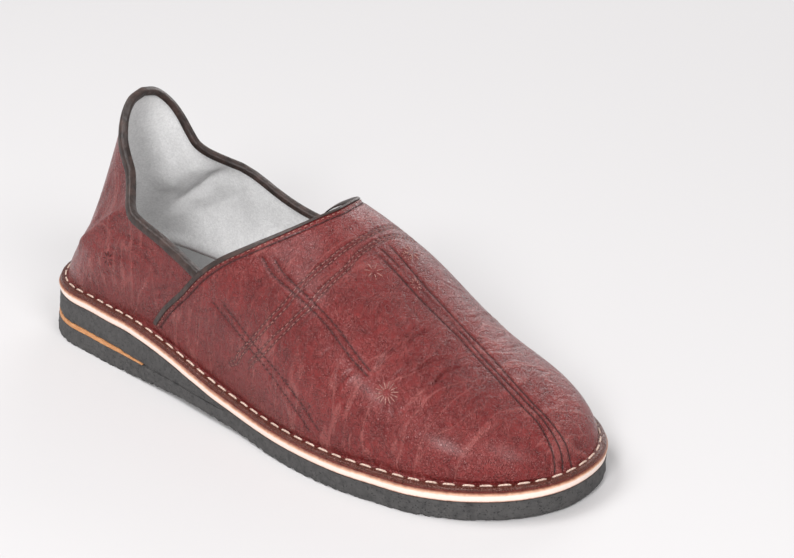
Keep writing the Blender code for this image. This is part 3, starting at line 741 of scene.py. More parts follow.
# %% Shape of the upper
RIDGE = (
    ("back", "height"),
    (0.000, 0.000),
    (0.007, 0.046),
    (0.017, 0.118),
    (0.027, 0.160),
    (0.047, 0.222),
    (0.068, 0.274),
    (0.110, 0.363),
    (0.171, 0.465),
    (0.262, 0.655),
    (0.354, 0.884),
    (0.421, 1.000),
    (0.560, 1.110),
    (0.700, 1.160),
)
VAMP_EDGE = (
    ("rise", "x", "outer", "inner", "height"),
    (0.00, 0.281, 0.980, 0.800, 0.000),
    (0.12, 0.298, 1.040, 0.960, 0.110),
    (0.25, 0.324, 1.080, 1.030, 0.245),
    (0.37, 0.359, 1.085, 1.060, 0.400),
    (0.48, 0.392, 1.060, 1.050, 0.565),
    (0.60, 0.426, 0.990, 1.000, 0.700),
    (0.70, 0.462, 0.870, 0.900, 0.805),
    (0.80, 0.493, 0.710, 0.760, 0.885),
    (0.88, 0.519, 0.500, 0.560, 0.948),
    (0.94, 0.536, 0.270, 0.310, 0.985),
    (1.00, 0.545, 0.000, 0.000, 1.000),
)
JOIN_RISE = 0.48
CROWN_RISE = 0.80
VAMP_COLUMNS = (
    ("foot", "crown"),
    (0.00, 0.545),
    (0.25, 0.640),
    (0.50, 0.742),
    (0.70, 0.822),
    (0.85, 0.868),
    (1.00, 0.908),
)
VAMP_SECTION = (
    ("t", "bulge", "widest"),
    (0.28, 0.070, 0.300),
    (0.45, 0.038, 0.280),
    (0.62, 0.026, 0.200),
    (0.74, 0.012, 0.090),
    (0.82, 0.000, 0.000),
    (1.00, 0.000, 0.000),
)
SECTION_POWER = 2.3
LOWER_ROWS = 0.30
TOE_FROM = 0.45
TOE_FULL = 0.72
VAMP_BLEND = 0.42
QUARTER_BLEND = 0.45
FIRST_RISE = 0.06
TOE_CROWDING = 0.45
TOPLINE = (
    ("foot", "x", "y", "height"),
    (0.00, 0.392, 1.025, 0.485),
    (0.12, 0.362, 0.975, 0.492),
    (0.25, 0.333, 0.935, 0.500),
    (0.38, 0.300, 0.910, 0.518),
    (0.50, 0.269, 0.910, 0.540),
    (0.60, 0.246, 0.890, 0.558),
    (0.68, 0.230, 0.815, 0.580),
    (0.75, 0.215, 0.695, 0.615),
    (0.80, 0.201, 0.585, 0.655),
    (0.84, 0.190, 0.515, 0.700),
    (0.88, 0.180, 0.490, 0.755),
    (0.91, 0.172, 0.465, 0.810),
    (0.94, 0.165, 0.405, 0.875),
    (0.965, 0.158, 0.300, 0.940),
    (0.985, 0.154, 0.160, 0.985),
    (1.00, 0.153, 0.000, 1.000),
)
QUARTER_BULGE = (
    ("foot", "low", "middle"),
    (0.00, 0.000, 0.000),
    (0.30, 0.020, 0.030),
    (0.60, 0.030, 0.050),
    (0.78, 0.035, 0.055),
    (0.88, 0.030, 0.020),
    (1.00, 0.025, 0.000),
)
LOW_SWELL = 0.15


def foot_line(side):
    """Foot of the wall's inner face on one side, its outward directions, and its length from the heel."""
    points = offset_side(side, -FOOT_INSET)
    return points, OUTLINES[side][1], lengths(points)


FOOT_LINES = {side: foot_line(side) for side in SIDES}


def along_foot(side, arc):
    """Points and outward directions of the foot line at lengths from the heel."""
    points, out, length = FOOT_LINES[side]
    return along(arc, length, points), unit(along(arc, length, out))


def rear_arc(side):
    """Length of the foot line from the heel to the vamp's rear edge."""
    points, _, length = FOOT_LINES[side]
    return np.interp(VAMP_EDGE[1][1] * LENGTH, points[:, 0], length)


def ridge_height(x):
    """Height of the ridge over the seat, read over the square root of the distance back from the toe."""
    back = (LENGTH - FOOT_INSET - x) / LENGTH
    rows = [("back", "height")] + [(math.sqrt(b), h) for b, h in RIDGE[1:]]
    return INSTEP_HEIGHT * lookup(rows, "back", "height", np.sqrt(np.clip(back, 0, None)))


def edge_curve(side, rise):
    """Rear edge of the vamp, (rows, 3) over the seat: the table's, with its foot moved to the foot line."""
    def read(name, at):
        return lookup(VAMP_EDGE, "rise", name, at)

    wall = WALL + OVERLAP_STEP
    y = HEEL_WIDTH / 2 * read(SIDE_NAMES[side], rise)
    y = y - wall * (1 - smoothstep(CROWN_RISE, 1, rise))
    first = float(HEEL_WIDTH / 2 * read(SIDE_NAMES[side], FIRST_RISE)) - wall
    foot = abs(width_at(side, -FOOT_INSET, LENGTH * float(read("x", FIRST_RISE))))
    y = y + (foot - first) * np.clip(1 - (rise - FIRST_RISE) / JOIN_RISE, 0, 1) ** 2
    return np.stack([LENGTH * read("x", rise), side * y, INSTEP_HEIGHT * read("height", rise)], axis=-1)


def section_point(x, rise, side):
    """Half width and height of the vamp's section at x: a leaning lower wall, then a superellipse."""
    t = x / LENGTH
    foot = np.abs(width_at(side, -FOOT_INSET, x))
    bulge = HEEL_WIDTH * lookup(VAMP_SECTION, "t", "bulge", t)
    widest = INSTEP_HEIGHT * lookup(VAMP_SECTION, "t", "widest", t)
    lower = LOWER_ROWS * widest / (INSTEP_HEIGHT * VAMP_SECTION[1][2])
    share = np.clip(rise / np.maximum(lower, 1e-7), 0, 1)
    turn = np.clip((rise - lower) / (1 - lower), 0, 1) * math.pi / 2
    power = 2 / SECTION_POWER
    is_low = rise < lower
    crown = ridge_height(x)
    y = np.where(is_low, foot + bulge * np.sin(share * math.pi / 2), (foot + bulge) * np.cos(turn) ** power)
    height = np.where(is_low, widest * share, widest + (crown - widest) * np.sin(turn) ** power)
    return y, height


def toe_point(foot, crown_x, rise, side):
    """Place on a toe column, which runs straight in plan from its foot to the ridge under a superellipse."""
    fall = np.cos(rise * math.pi / 2) ** (2 / SECTION_POWER)
    x = crown_x + (foot[..., 0] - crown_x) * fall
    y = np.abs(foot[..., 1]) * fall
    reach = np.maximum(np.abs(width_at(side, -FOOT_INSET, x)), 1e-7)
    share = np.clip(y / reach, 0, 1)
    height = ridge_height(x) * (1 - share**SECTION_POWER) ** (1 / SECTION_POWER)
    return x, y, height


def vamp_body(side, a, rise):
    """Wall of the vamp before its rear edge is fitted: (columns, rows, 3) over the seat."""
    foot, _ = along_foot(side, mix(rear_arc(side), FOOT_LINES[side][2][-1], a))
    foot = foot[:, None, :]
    crown_x = LENGTH * lookup(VAMP_COLUMNS, "foot", "crown", a)[:, None]
    toe = smoothstep(TOE_FROM, TOE_FULL, a)[:, None]
    x = mix(foot[..., 0], crown_x, rise)
    y, height = section_point(x, rise, side)
    toe_x, toe_y, toe_height = toe_point(foot, crown_x, rise, side)
    return np.stack([mix(x, toe_x, toe), side * mix(y, toe_y, toe), mix(height, toe_height, toe)], axis=-1)


def fitted(body, side, a, rows, rise, blend):
    """A wall whose first station is led along the vamp's rear edge, a change that dies away over `blend`."""
    change = edge_curve(side, rise) - body(side, np.zeros(1), rows)[0]
    return body(side, a, rows) + change * (1 - smoothstep(0, blend, a))[:, None, None]


def vamp_wall(side, a, rise):
    """Inner face of the vamp's wall."""
    return fitted(vamp_body, side, a, rise[None, :], rise, VAMP_BLEND)


def topline_point(a, side):
    """Place of the topline at share a of the foot line, over the seat."""
    return np.stack([
        LENGTH * lookup(TOPLINE, "foot", "x", a),
        side * HEEL_WIDTH / 2 * lookup(TOPLINE, "foot", "y", a),
        TAB_HEIGHT * lookup(TOPLINE, "foot", "height", a),
    ], axis=-1)


def quarter_body(side, a, up):
    """Wall of the quarter before its front is fitted: straight from foot to topline, swelled outwards."""
    foot, out = along_foot(side, mix(rear_arc(side), 0, a))
    foot = np.concatenate([foot, np.zeros((len(a), 1))], axis=1)[:, None, :]
    top = topline_point(a, side)[:, None, :]
    low = HEEL_WIDTH * lookup(QUARTER_BULGE, "foot", "low", a)[:, None]
    middle = HEEL_WIDTH * lookup(QUARTER_BULGE, "foot", "middle", a)[:, None]
    swell = low * up / LOW_SWELL * np.exp(1 - up / LOW_SWELL) + middle * np.sin(math.pi * up) ** 2
    body = foot + (top - foot) * up[..., None]
    body[..., :2] += out[:, None, :] * swell[..., None]
    return body


def quarter_wall(side, a, rise):
    """Inner face of the quarter's wall."""
    return fitted(quarter_body, side, a, (rise / JOIN_RISE)[None, :], rise, QUARTER_BLEND)


FLANGE_ROWS = 9
BEND_ROWS = 9
FOOT_CLEARANCE = 0.0002


def with_flange(side, arc, wall):
    """A wall with its turned-out foot below it: the flat flange, then a quadratic curve up to the wall."""
    foot, out = along_foot(side, arc)
    flat = np.linspace(FOOT_INSET - FOOT_CLEARANCE, FLANGE_BEND, FLANGE_ROWS)
    rows = foot[:, None, :] + out[:, None, :] * flat[None, :, None]
    rows = np.concatenate([rows, np.zeros((*rows.shape[:2], 1))], axis=2)
    s = np.linspace(0, 1, BEND_ROWS + 1)[1:-1][None, :, None]
    corner = np.concatenate([foot, np.zeros((len(arc), 1))], axis=1)[:, None, :]
    curve = (1 - s) ** 2 * rows[:, -1:] + 2 * s * (1 - s) * corner + s * s * wall[:, :1]
    return np.concatenate([rows, curve, wall], axis=1)


def lift(points):
    """Heights over the seat turned into real heights."""
    moved = points.copy()
    moved[..., 2] += seat(moved[..., 0])
    return moved


# %% [markdown]
# The vamp and the quarter are cut and lasted apart, so each has a grid of its own. The vamp's stations run
# from its rear edge to the toe, closer together towards the toe where it bends most. The quarter's run from
# one side round the heel to the other, closer together where the topline climbs to the tab.

# %% Grids of the upper
VAMP_STATIONS = 321
VAMP_ROWS = 122
QUARTER_STATIONS = 161
QUARTER_ROWS = 75
BASE_ROWS = FLANGE_ROWS + BEND_ROWS - 1


def vamp_grid():
    """Inner face of the vamp: stations from rear to toe, rows from the outer foot over to the inner."""
    a = np.linspace(0, 1, VAMP_STATIONS)
    a = mix(a, np.sin(a * math.pi / 2), TOE_CROWDING)
    rise = np.linspace(FIRST_RISE, 1, VAMP_ROWS)
    halves = []
    for side in SIDES:
        arc = mix(rear_arc(side), FOOT_LINES[side][2][-1], a)
        halves.append(lift(with_flange(side, arc, vamp_wall(side, a, rise))))
    return np.concatenate([halves[0], halves[1][:, -2::-1]], axis=1), a


def quarter_shares():
    """Shares of the foot line for the quarter's stations, even along its foot and its topline together."""
    dense = np.linspace(0, 1, 2000)
    top = topline_point(dense, INNER)
    measure = lengths(top) + dense * rear_arc(INNER) / 2
    return np.interp(np.linspace(0, measure[-1], QUARTER_STATIONS), measure, dense)


def quarter_grid():
    """Inner face of the quarter: stations from the outer join round the heel to the inner, rows upwards."""
    a = quarter_shares()
    rise = np.linspace(FIRST_RISE, JOIN_RISE, QUARTER_ROWS)
    halves = []
    for side in SIDES:
        halves.append(lift(with_flange(side, mix(rear_arc(side), 0, a), quarter_wall(side, a, rise))))
    return np.concatenate([halves[0], halves[1][-2::-1]], axis=0), a


def normals(grid, turn):
    """Unit normals of a grid: the cross product of its two directions of run."""
    down = np.gradient(grid, axis=0)
    over = np.gradient(grid, axis=1)
    return turn * unit(np.cross(down, over))


vamp_inside, vamp_a = vamp_grid()
quarter_inside, quarter_a = quarter_grid()
vamp_normal = normals(vamp_inside, 1)
quarter_normal = normals(quarter_inside, -1)
HALF_ROWS = vamp_inside.shape[1] // 2
print("vamp grid", vamp_inside.shape, "normal at the crown", np.round(vamp_normal[40, HALF_ROWS], 2))
print("quarter grid", quarter_inside.shape, "normal at the heel", np.round(quarter_normal[160, 50], 2))

# %% [markdown]
# A shell is its outer grid, its inner grid and a strip round the border. The vamp's inner face is hidden, so
# it keeps only every fourth point, and each border face joins four fine edges to one coarse edge. The
# quarter's inner face shows as the lining in the collar, so it keeps every second point.

# %% Shells
COARSE = 4
LINING_COARSE = 2
RIM_ROWS = 3


def shell(name, outer, inner, looks, attributes, welded_end=False, flip=False, coarse=COARSE):
    """A wall from an outer and an inner grid, with its outer face in the first look and its inner face in the
    second. welded_end: the last station folds onto itself, as at a toe."""
    rows, columns = outer.shape[:2]
    small = inner[::coarse, ::coarse]
    start = rows * columns
    faces = grid_quads(rows, columns, flip=flip).tolist()
    slots = [0] * len(faces)
    inside = grid_quads(*small.shape[:2], start=start, flip=not flip).tolist()
    faces += inside
    slots += [1] * len(inside)
    fine = np.arange(start).reshape(rows, columns)
    wide = start + np.arange(small.shape[0] * small.shape[1]).reshape(small.shape[:2])
    borders = [(fine[:, 0], wide[:, 0], flip), (fine[:, -1], wide[:, -1], not flip)]
    borders.append((fine[0], wide[0], not flip))
    if not welded_end:
        borders.append((fine[-1], wide[-1], flip))
    for fine_line, wide_line, turned in borders:
        for k in range(len(wide_line) - 1):
            face = [*fine_line[k * coarse:(k + 1) * coarse + 1], wide_line[k + 1], wide_line[k]]
            faces.append(face[::-1] if turned else face)
            slots.append(0)
    points = np.concatenate([outer.reshape(-1, 3), small.reshape(-1, 3)])
    given = {key: np.concatenate([values.ravel(), np.zeros(wide.size)]) for key, values in attributes.items()}
    return build(name, points, faces, looks, slots, given)


def rim_profile(row):
    """Share of the wall's thickness, row by row from the flange's edge: a quarter circle over three rows."""
    share = np.clip(row / RIM_ROWS, 0, 1)
    return 0.45 + 0.55 * np.sqrt(1 - (1 - share) ** 2)


def rim_shade(row, stations):
    """The attribute rim: 1 on the flange, fading out above the bend."""
    return np.tile(1 - smoothstep(RIM_ROWS, FLANGE_ROWS + 5, row), (stations, 1))


row = np.arange(vamp_inside.shape[1])
row = np.minimum(row, row[::-1])
vamp_thick = WALL + OVERLAP_STEP * smoothstep(BASE_ROWS - 4, BASE_ROWS + 1, row)
vamp_thick = vamp_thick * rim_profile(row)
vamp_outside = vamp_inside + vamp_normal * vamp_thick[None, :, None]
vamp_rim = rim_shade(row, vamp_inside.shape[0])

row = np.arange(quarter_inside.shape[1])
quarter_outside = quarter_inside + quarter_normal * (WALL * rim_profile(row))[None, :, None]
quarter_rim = rim_shade(row, quarter_inside.shape[0])
print("wall of the vamp in mm, from the rim up:", np.round(1000 * vamp_thick[:BASE_ROWS:4], 2))

# %% [markdown]
# The vamp is quilted with sewn lines: a band of two double lines runs across it, double lines run towards
# the toe on both sides, and three lines follow the ridge. Small stars are embroidered between them.
# A place on the vamp is given by two shares: `a` along the foot line from the rear edge to the toe, and
# `w` across, 0 on the ridge, -1 at the outer foot and 1 at the inner foot.

# %% Places on the vamp and the quarter
def sample(grid, i, j):
    """A grid's values at broken station and row numbers, straight between the four nearest points."""
    i = np.clip(i, 0, grid.shape[0] - 1.001)
    j = np.clip(j, 0, grid.shape[1] - 1.001)
    i0, j0 = i.astype(int), j.astype(int)
    fi, fj = (i - i0)[..., None], (j - j0)[..., None]
    low = mix(grid[i0, j0], grid[i0, j0 + 1], fj)
    high = mix(grid[i0 + 1, j0], grid[i0 + 1, j0 + 1], fj)
    return mix(low, high, fi)


# Points that `pressed` compares with a line at a time, to save memory
BATCH = 4000


def on_vamp(a, w):
    """Points and normals of the vamp's outer face at shares a and w."""
    a, w = np.broadcast_arrays(np.asarray(a, dtype=float), np.asarray(w, dtype=float))
    i = np.interp(a, vamp_a, np.arange(VAMP_STATIONS))
    up = (HALF_ROWS - BASE_ROWS) * (1 - np.abs(w) - FIRST_RISE) / (1 - FIRST_RISE) + BASE_ROWS
    j = np.where(w < 0, up, 2 * HALF_ROWS - up)
    return sample(vamp_outside, i, j), unit(sample(vamp_normal, i, j))


def on_quarter_face(face, a, up):
    """Points and normals of a face of the quarter. a: share of the foot line, below 0 on the outer side."""
    a, up = np.broadcast_arrays(np.asarray(a, dtype=float), np.asarray(up, dtype=float))
    i = np.interp(np.abs(a), quarter_a, np.arange(QUARTER_STATIONS))
    i = np.where(a < 0, i, 2 * (QUARTER_STATIONS - 1) - i)
    j = BASE_ROWS + up * (QUARTER_ROWS - 1)
    return sample(face, i, j), unit(sample(quarter_normal, i, j))


def on_quarter(a, up):
    """Points and normals of the quarter's outer face."""
    return on_quarter_face(quarter_outside, a, up)


def on_lining(a, up):
    """Points and normals of the quarter's inner face."""
    return on_quarter_face(quarter_inside, a, up)


def drawn(surface, knots, spacing=0.0003):
    """A smooth line on a surface through knots (first share, second share): points and normals, evenly."""
    table = [("k", "a", "w")] + [(k, *knot) for k, knot in enumerate(knots)]
    fine = np.linspace(0, len(knots) - 1, 60 * len(knots))
    a, w = lookup(table, "k", "a", fine), lookup(table, "k", "w", fine)
    points, _ = surface(a, w)
    length = lengths(points)
    at = np.linspace(0, length[-1], max(int(length[-1] / spacing), 4))
    return surface(np.interp(at, length, a), np.interp(at, length, w))


def pressed(grid, line, width, fade=0.0):
    """How near each grid point is to a line: 1 on it, falling off as a bell exp(-(d/width)^2).

    fade: share of the line's length over which both its ends die away."""
    near = np.zeros(grid.shape[:2])
    reach = 3 * width
    inside = np.all((grid > line.min(axis=0) - reach) & (grid < line.max(axis=0) + reach), axis=-1)
    points = grid[inside]
    away = np.empty(len(points))
    nearest = np.empty(len(points), dtype=int)
    for start in range(0, len(points), BATCH):
        part = slice(start, start + BATCH)
        square = ((points[part, None] - line[None]) ** 2).sum(axis=-1)
        nearest[part] = square.argmin(axis=1)
        away[part] = square.min(axis=1)
    bell = np.exp(-away / width**2)
    if fade:
        share = nearest / (len(line) - 1)
        bell = bell * smoothstep(0, fade, share) * (1 - smoothstep(1 - fade, 1, share))
    near[inside] = bell
    return near


# %% [markdown]
# The lines are sewn through the vamp and a thin pad under it. The thread pulls the leather down into a
# narrow groove, and the pad lifts it a little on both sides. Each line is a few knots in the two shares,
# joined by a smooth curve, and the inner side repeats the outer side's knots with the sign of `w` turned.

# %% Sewn lines
BAND = (
    ((0.215, -0.775), (0.232, -0.707), (0.246, -0.649), (0.261, -0.565), (0.271, -0.460), (0.262, -0.385),
     (0.208, -0.174), (0.174, -0.087), (0.153, -0.019), (0.150, 0.000)),
    ((0.222, -0.785), (0.242, -0.717), (0.257, -0.655), (0.279, -0.552), (0.286, -0.460), (0.274, -0.380),
     (0.224, -0.178), (0.188, -0.087), (0.166, -0.019), (0.163, 0.000)),
    ((0.266, -0.727), (0.286, -0.669), (0.305, -0.591), (0.320, -0.500), (0.322, -0.420), (0.300, -0.300),
     (0.262, -0.165), (0.217, -0.080), (0.193, -0.019), (0.188, 0.000)),
    ((0.273, -0.736), (0.300, -0.678), (0.315, -0.620), (0.331, -0.520), (0.335, -0.420), (0.313, -0.300),
     (0.276, -0.165), (0.231, -0.080), (0.207, -0.019), (0.202, 0.000)),
)
RAYS = (
    ((0.066, -0.291), (0.170, -0.349), (0.300, -0.395), (0.408, -0.436), (0.546, -0.523)),
    ((0.101, -0.275), (0.188, -0.325), (0.310, -0.372), (0.428, -0.414), (0.540, -0.490)),
    ((0.091, -0.581), (0.170, -0.620), (0.249, -0.669), (0.356, -0.736), (0.447, -0.833), (0.472, -0.892)),
    ((0.120, -0.565), (0.195, -0.605), (0.273, -0.655), (0.373, -0.715), (0.453, -0.795), (0.494, -0.862)),
)
RIDGE_LINES = (
    ((0.205, -0.036), (0.402, -0.030), (0.555, -0.030), (0.715, -0.056), (0.862, -0.145), (0.934, -0.320),
     (0.946, -0.600), (0.943, -0.900)),
    ((0.228, -0.008), (0.410, -0.003), (0.560, -0.005), (0.718, -0.028), (0.892, -0.105), (0.955, -0.270),
     (0.966, -0.570), (0.960, -0.900)),
    ((0.230, 0.021), (0.412, 0.026), (0.602, 0.018), (0.771, -0.003), (0.918, -0.066), (0.974, -0.220),
     (0.986, -0.540), (0.981, -0.900)),
)
REACH = 0.09
LOWEST = 0.90
CROWN_END = (0.05, 0.40)


def from_edge(side_distance, crown_distance, count=61):
    """A line on the vamp at a distance in front of its rear edge, which shrinks over the crown."""
    a = np.linspace(0, REACH, 80)
    w = np.linspace(-LOWEST, LOWEST, count)
    points, _ = on_vamp(a[:, None], w[None, :])
    run = lengths(points)
    distance = mix(crown_distance, side_distance, smoothstep(*CROWN_END, np.abs(w)))
    shares = [np.interp(distance[k], run[:, k], a) for k in range(count)]
    return drawn(on_vamp, list(zip(shares, w)))


def mirrored(knots):
    """The same line on the inner side."""
    return tuple((a, -w) for a, w in knots)


band_lines = [drawn(on_vamp, line) for knots in BAND for line in (knots, mirrored(knots))]
ray_lines = [drawn(on_vamp, line) for knots in RAYS for line in (knots, mirrored(knots))]
ridge_lines = [drawn(on_vamp, knots) for knots in RIDGE_LINES]
edge_row = [from_edge(0.0044, 0.0034)]
binding_row = [from_edge(0.0026, 0.0019)]
print("sewn lines:", len(band_lines) + len(ray_lines) + len(ridge_lines) + len(edge_row))

SEAM_WIDTH = 0.0006
PUFF = 0.0001
# Each row: the lines, the depth of their groove, and the strength of the painted shade along them.
SEAMS = (
    (band_lines, 0.00040, 0.88),
    (ray_lines, 0.00045, 0.72),
    (ridge_lines, 0.00042, 0.85),
    (edge_row, 0.00045, 0.80),
)
sunk = np.zeros(vamp_outside.shape[:2])
dark = np.zeros_like(sunk)
for lines, depth, shade in SEAMS:
    for line, _ in lines:
        near = pressed(vamp_outside, line, SEAM_WIDTH)
        sunk = np.maximum(sunk, near * depth)
        # Painted shade: the leather is darkened along each sewn groove.
        dark = np.maximum(dark, near * shade)
        puff = pressed(vamp_outside, line, 3 * SEAM_WIDTH)
        sunk = sunk - PUFF * puff * (1 - puff)

# %% [markdown]
# Worn leather folds where the foot bends. The main creases are drawn as short soft troughs, each
# with a low ridge beside it: they fan out from the side of the toe and run across the sides of the vamp.

# %% Creases
CREASES = (
    ("a0", "w0", "a1", "w1", "depth"),
    (0.494, -0.339, 0.405, -0.136, 0.46),
    (0.470, -0.400, 0.420, -0.210, 0.30),
    (0.619, -0.397, 0.645, -0.136, 0.48),
    (0.600, -0.420, 0.612, -0.190, 0.30),
    (0.667, -0.397, 0.686, -0.126, 0.48),
    (0.645, -0.430, 0.665, -0.230, 0.32),
    (0.567, -0.543, 0.543, -0.223, 0.48),
    (0.588, -0.500, 0.572, -0.260, 0.32),
    (0.522, -0.727, 0.509, -0.514, 0.42),
    (0.500, -0.700, 0.480, -0.560, 0.32),
    (0.564, -0.300, 0.537, -0.078, 0.42),
    (0.530, -0.330, 0.500, -0.120, 0.32),
    (0.395, -0.611, 0.395, -0.465, 0.38),
    (0.422, -0.600, 0.440, -0.480, 0.26),
    (0.700, -0.420, 0.722, -0.200, 0.38),
    (0.732, -0.460, 0.752, -0.250, 0.28),
    (0.762, -0.400, 0.790, -0.200, 0.22),
    (0.690, -0.640, 0.680, -0.480, 0.32),
    (0.640, -0.660, 0.620, -0.520, 0.34),
    (0.560, -0.780, 0.572, -0.640, 0.28),
    (0.360, -0.560, 0.350, -0.400, 0.24),
    (0.340, -0.760, 0.345, -0.640, 0.22),
    (0.450, -0.860, 0.440, -0.720, 0.24),
    (0.130, -0.480, 0.180, -0.380, 0.24),
    (0.060, -0.700, 0.110, -0.600, 0.24),
    (0.110, -0.760, 0.160, -0.660, 0.22),
    (0.820, -0.560, 0.850, -0.360, 0.20),
)
INNER_SHIFT = 0.017
INNER_STRENGTH = 0.5
CREASE_WIDTH = 0.0009
CREASE_BEND = 0.05
CREASE_DEPTH = 0.0017
CREASE_FADE = 0.35
CREASE_SHADE = 0.34
LIP_WIDTH = 2.2
LIP_SHARE = 0.55


def crease_line(surface, a0, w0, a1, w1, bend):
    """A slightly bowed line between two places."""
    middle_a = (a0 + a1) / 2 + bend * (w1 - w0)
    middle_w = (w0 + w1) / 2 - bend * (a1 - a0)
    return drawn(surface, [(a0, w0), (middle_a, middle_w), (a1, w1)])


columns = [column(CREASES, name) for name in CREASES[0]]
for k, (a0, w0, a1, w1, depth) in enumerate(zip(*columns)):
    bend = CREASE_BEND * (1 if k % 2 else -1)
    for side in SIDES:
        moved = INNER_SHIFT * (side > 0)
        line, _ = crease_line(on_vamp, a0 + moved, -side * w0, a1 + moved, -side * w1, bend)
        near = pressed(vamp_outside, line, CREASE_WIDTH, fade=CREASE_FADE)
        wide = pressed(vamp_outside, line, LIP_WIDTH * CREASE_WIDTH, fade=CREASE_FADE)
        strength = INNER_STRENGTH if side > 0 else 1
        sunk = sunk + CREASE_DEPTH * depth * strength * (near - LIP_SHARE * wide)
        # Painted shade: the leather is darkened along each crease's trough, more on the outer side.
        dark = np.maximum(dark, CREASE_SHADE * strength * near)

vamp_outside = vamp_outside - vamp_normal * sunk[..., None]
print("creases of the vamp:", len(CREASES) - 1, "on each side, deepest in mm:", round(1000 * sunk.max(), 2))

# %% [markdown]
# The quarter has no stiffener, so it buckles where the heel steps on it. Wide forms go through the wall: a
# fold beside the heel, which stands out, and hollows on both sides of it. Narrow folds only mark the outer
# face, fanning out from that fold towards the vamp. Rows are a depth and a width in millimetres, then the
# knots. A depth below 0 stands out.

# %% Creases of the quarter
MM = 0.001
FOLD_FADE = 0.3
FOLD_SHADE = 0.30
QUARTER_FORMS = (
    (-2.8, 2.6, ((0.650, 0.990), (0.702, 0.784), (0.712, 0.620), (0.728, 0.405), (0.742, 0.176))),
    (1.8, 5.5, ((0.775, 0.950), (0.800, 0.700), (0.815, 0.450))),
    (1.2, 5.0, ((0.600, 0.900), (0.625, 0.600), (0.650, 0.350))),
)
QUARTER_FOLDS = (
    (0.50, 1.2, ((0.642, 0.459), (0.550, 0.595), (0.399, 0.635))),
    (0.45, 1.2, ((0.583, 0.419), (0.508, 0.554), (0.297, 0.595))),
    (0.50, 1.4, ((0.605, 0.700), (0.592, 0.757), (0.541, 0.919))),
    (0.45, 1.3, ((0.626, 0.757), (0.414, 0.811), (0.289, 0.824))),
    (0.36, 1.0, ((0.188, 0.338), (0.095, 0.635), (0.024, 0.811))),
    (0.36, 1.0, ((0.145, 0.284), (0.055, 0.568), (0.016, 0.703))),
    (0.32, 1.0, ((0.480, 0.700), (0.380, 0.720), (0.270, 0.700))),
    (0.32, 1.0, ((0.500, 0.350), (0.400, 0.330), (0.300, 0.360))),
    (0.35, 1.4, ((0.900, 0.800), (0.880, 0.600), (0.890, 0.420))),
)


def folded(surface, grid, folds, start):
    """Depths of folds added to start over a grid, both sides alike, and how near each point is to a fold."""
    total = start
    nearest = np.zeros(grid.shape[:2])
    for depth, width, knots in folds:
        for side in SIDES:
            line, _ = drawn(surface, [(side * a, up) for a, up in knots])
            near = pressed(grid, line, MM * width, fade=FOLD_FADE)
            total = total + MM * depth * near
            nearest = np.maximum(nearest, near)
    return total, nearest


quarter_form, _ = folded(on_quarter, quarter_outside, QUARTER_FORMS, np.zeros(quarter_outside.shape[:2]))
quarter_sunk, near_folds = folded(on_quarter, quarter_outside, QUARTER_FOLDS, np.zeros_like(quarter_form))
# Painted shade: the leather is darkened along the narrow folds.
quarter_dark = FOLD_SHADE * near_folds
quarter_outside = quarter_outside - quarter_normal * (quarter_sunk + quarter_form)[..., None]
print("folds of the quarter:", len(QUARTER_FORMS) + len(QUARTER_FOLDS), "on each side")

# %% [markdown]
# The fold at the heel goes through the wall, so the lining takes its form too. The suede has one sharp
# crease of its own where its side was folded.

# %% Creases of the lining
LINING_FOLDS = (
    (-0.45, 0.9, ((0.658, 0.257), (0.626, 0.392), (0.566, 0.581), (0.508, 0.811), (0.486, 0.960))),
    (0.50, 1.6, ((0.640, 0.330), (0.605, 0.440), (0.540, 0.640), (0.485, 0.860))),
)


lining_sunk, _ = folded(on_lining, quarter_inside, LINING_FOLDS, -quarter_form)
lining = quarter_inside + quarter_normal * lining_sunk[..., None]

vamp = shell(
    "vamp", vamp_outside, vamp_inside, [leather, suede],
    {"rim": vamp_rim, "dark": dark}, welded_end=True,
)
quarter = shell(
    "quarter", quarter_outside, lining, [leather, suede],
    {"rim": quarter_rim, "dark": quarter_dark}, flip=True, coarse=LINING_COARSE,
)
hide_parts("upper")

# %% [markdown]
# Two strips of thin dark leather bind the raw edges: one is folded over the topline, from one side of the
# vamp round the tab to the other, and one runs along the rear edge of the vamp. Both are a closed outline
# carried along the edge. Cutting each corner of the outline twice, a quarter from each end, rounds it. The
# first row of each outline is its outer lower corner, and the others follow round the strip.

# %% Bindings
COLLAR_BINDING_DEPTH = 0.0027
COLLAR_INSIDE_DEPTH = 0.0016
VAMP_BINDING_WIDTH = 0.0018
CROWN_BINDING_WIDTH = 0.0010
BINDING_THICKNESS = 0.0007
BINDING_CLEARANCE = 0.0004
ROLL_CLEARANCE = 0.0001
ROLL_THICKNESS = 0.0006
COLLAR_STATIONS = 420
EDGE_DEPTH = 5
SIDE_ROWS = 6
CUT = 0.25
LIP_FADE = 0.08
CROWN_FROM = (0.6, 0.95)


def edge_frame(edge, within):
    """Directions along an edge of the upper: through the wall, out of the edge, and back into the wall."""
    run = unit(np.gradient(edge, axis=0))
    inward = unit(within - edge)
    across = unit(np.cross(run, inward))
    beyond = np.cross(run, across)
    beyond = beyond * -np.sign(np.sum(beyond * inward, axis=1, keepdims=True))
    reach = -np.sum(inward * beyond, axis=1, keepdims=True)
    return across, beyond, inward / reach


def rounded(rings, times=2):
    """Each corner of closed rings cut a quarter from both ends, some times over."""
    for _ in range(times):
        after = np.roll(rings, -1, axis=1)
        rings = np.stack([mix(rings, after, CUT), mix(rings, after, 1 - CUT)], axis=2)
        rings = rings.reshape(rings.shape[0], -1, 3)
    return rings


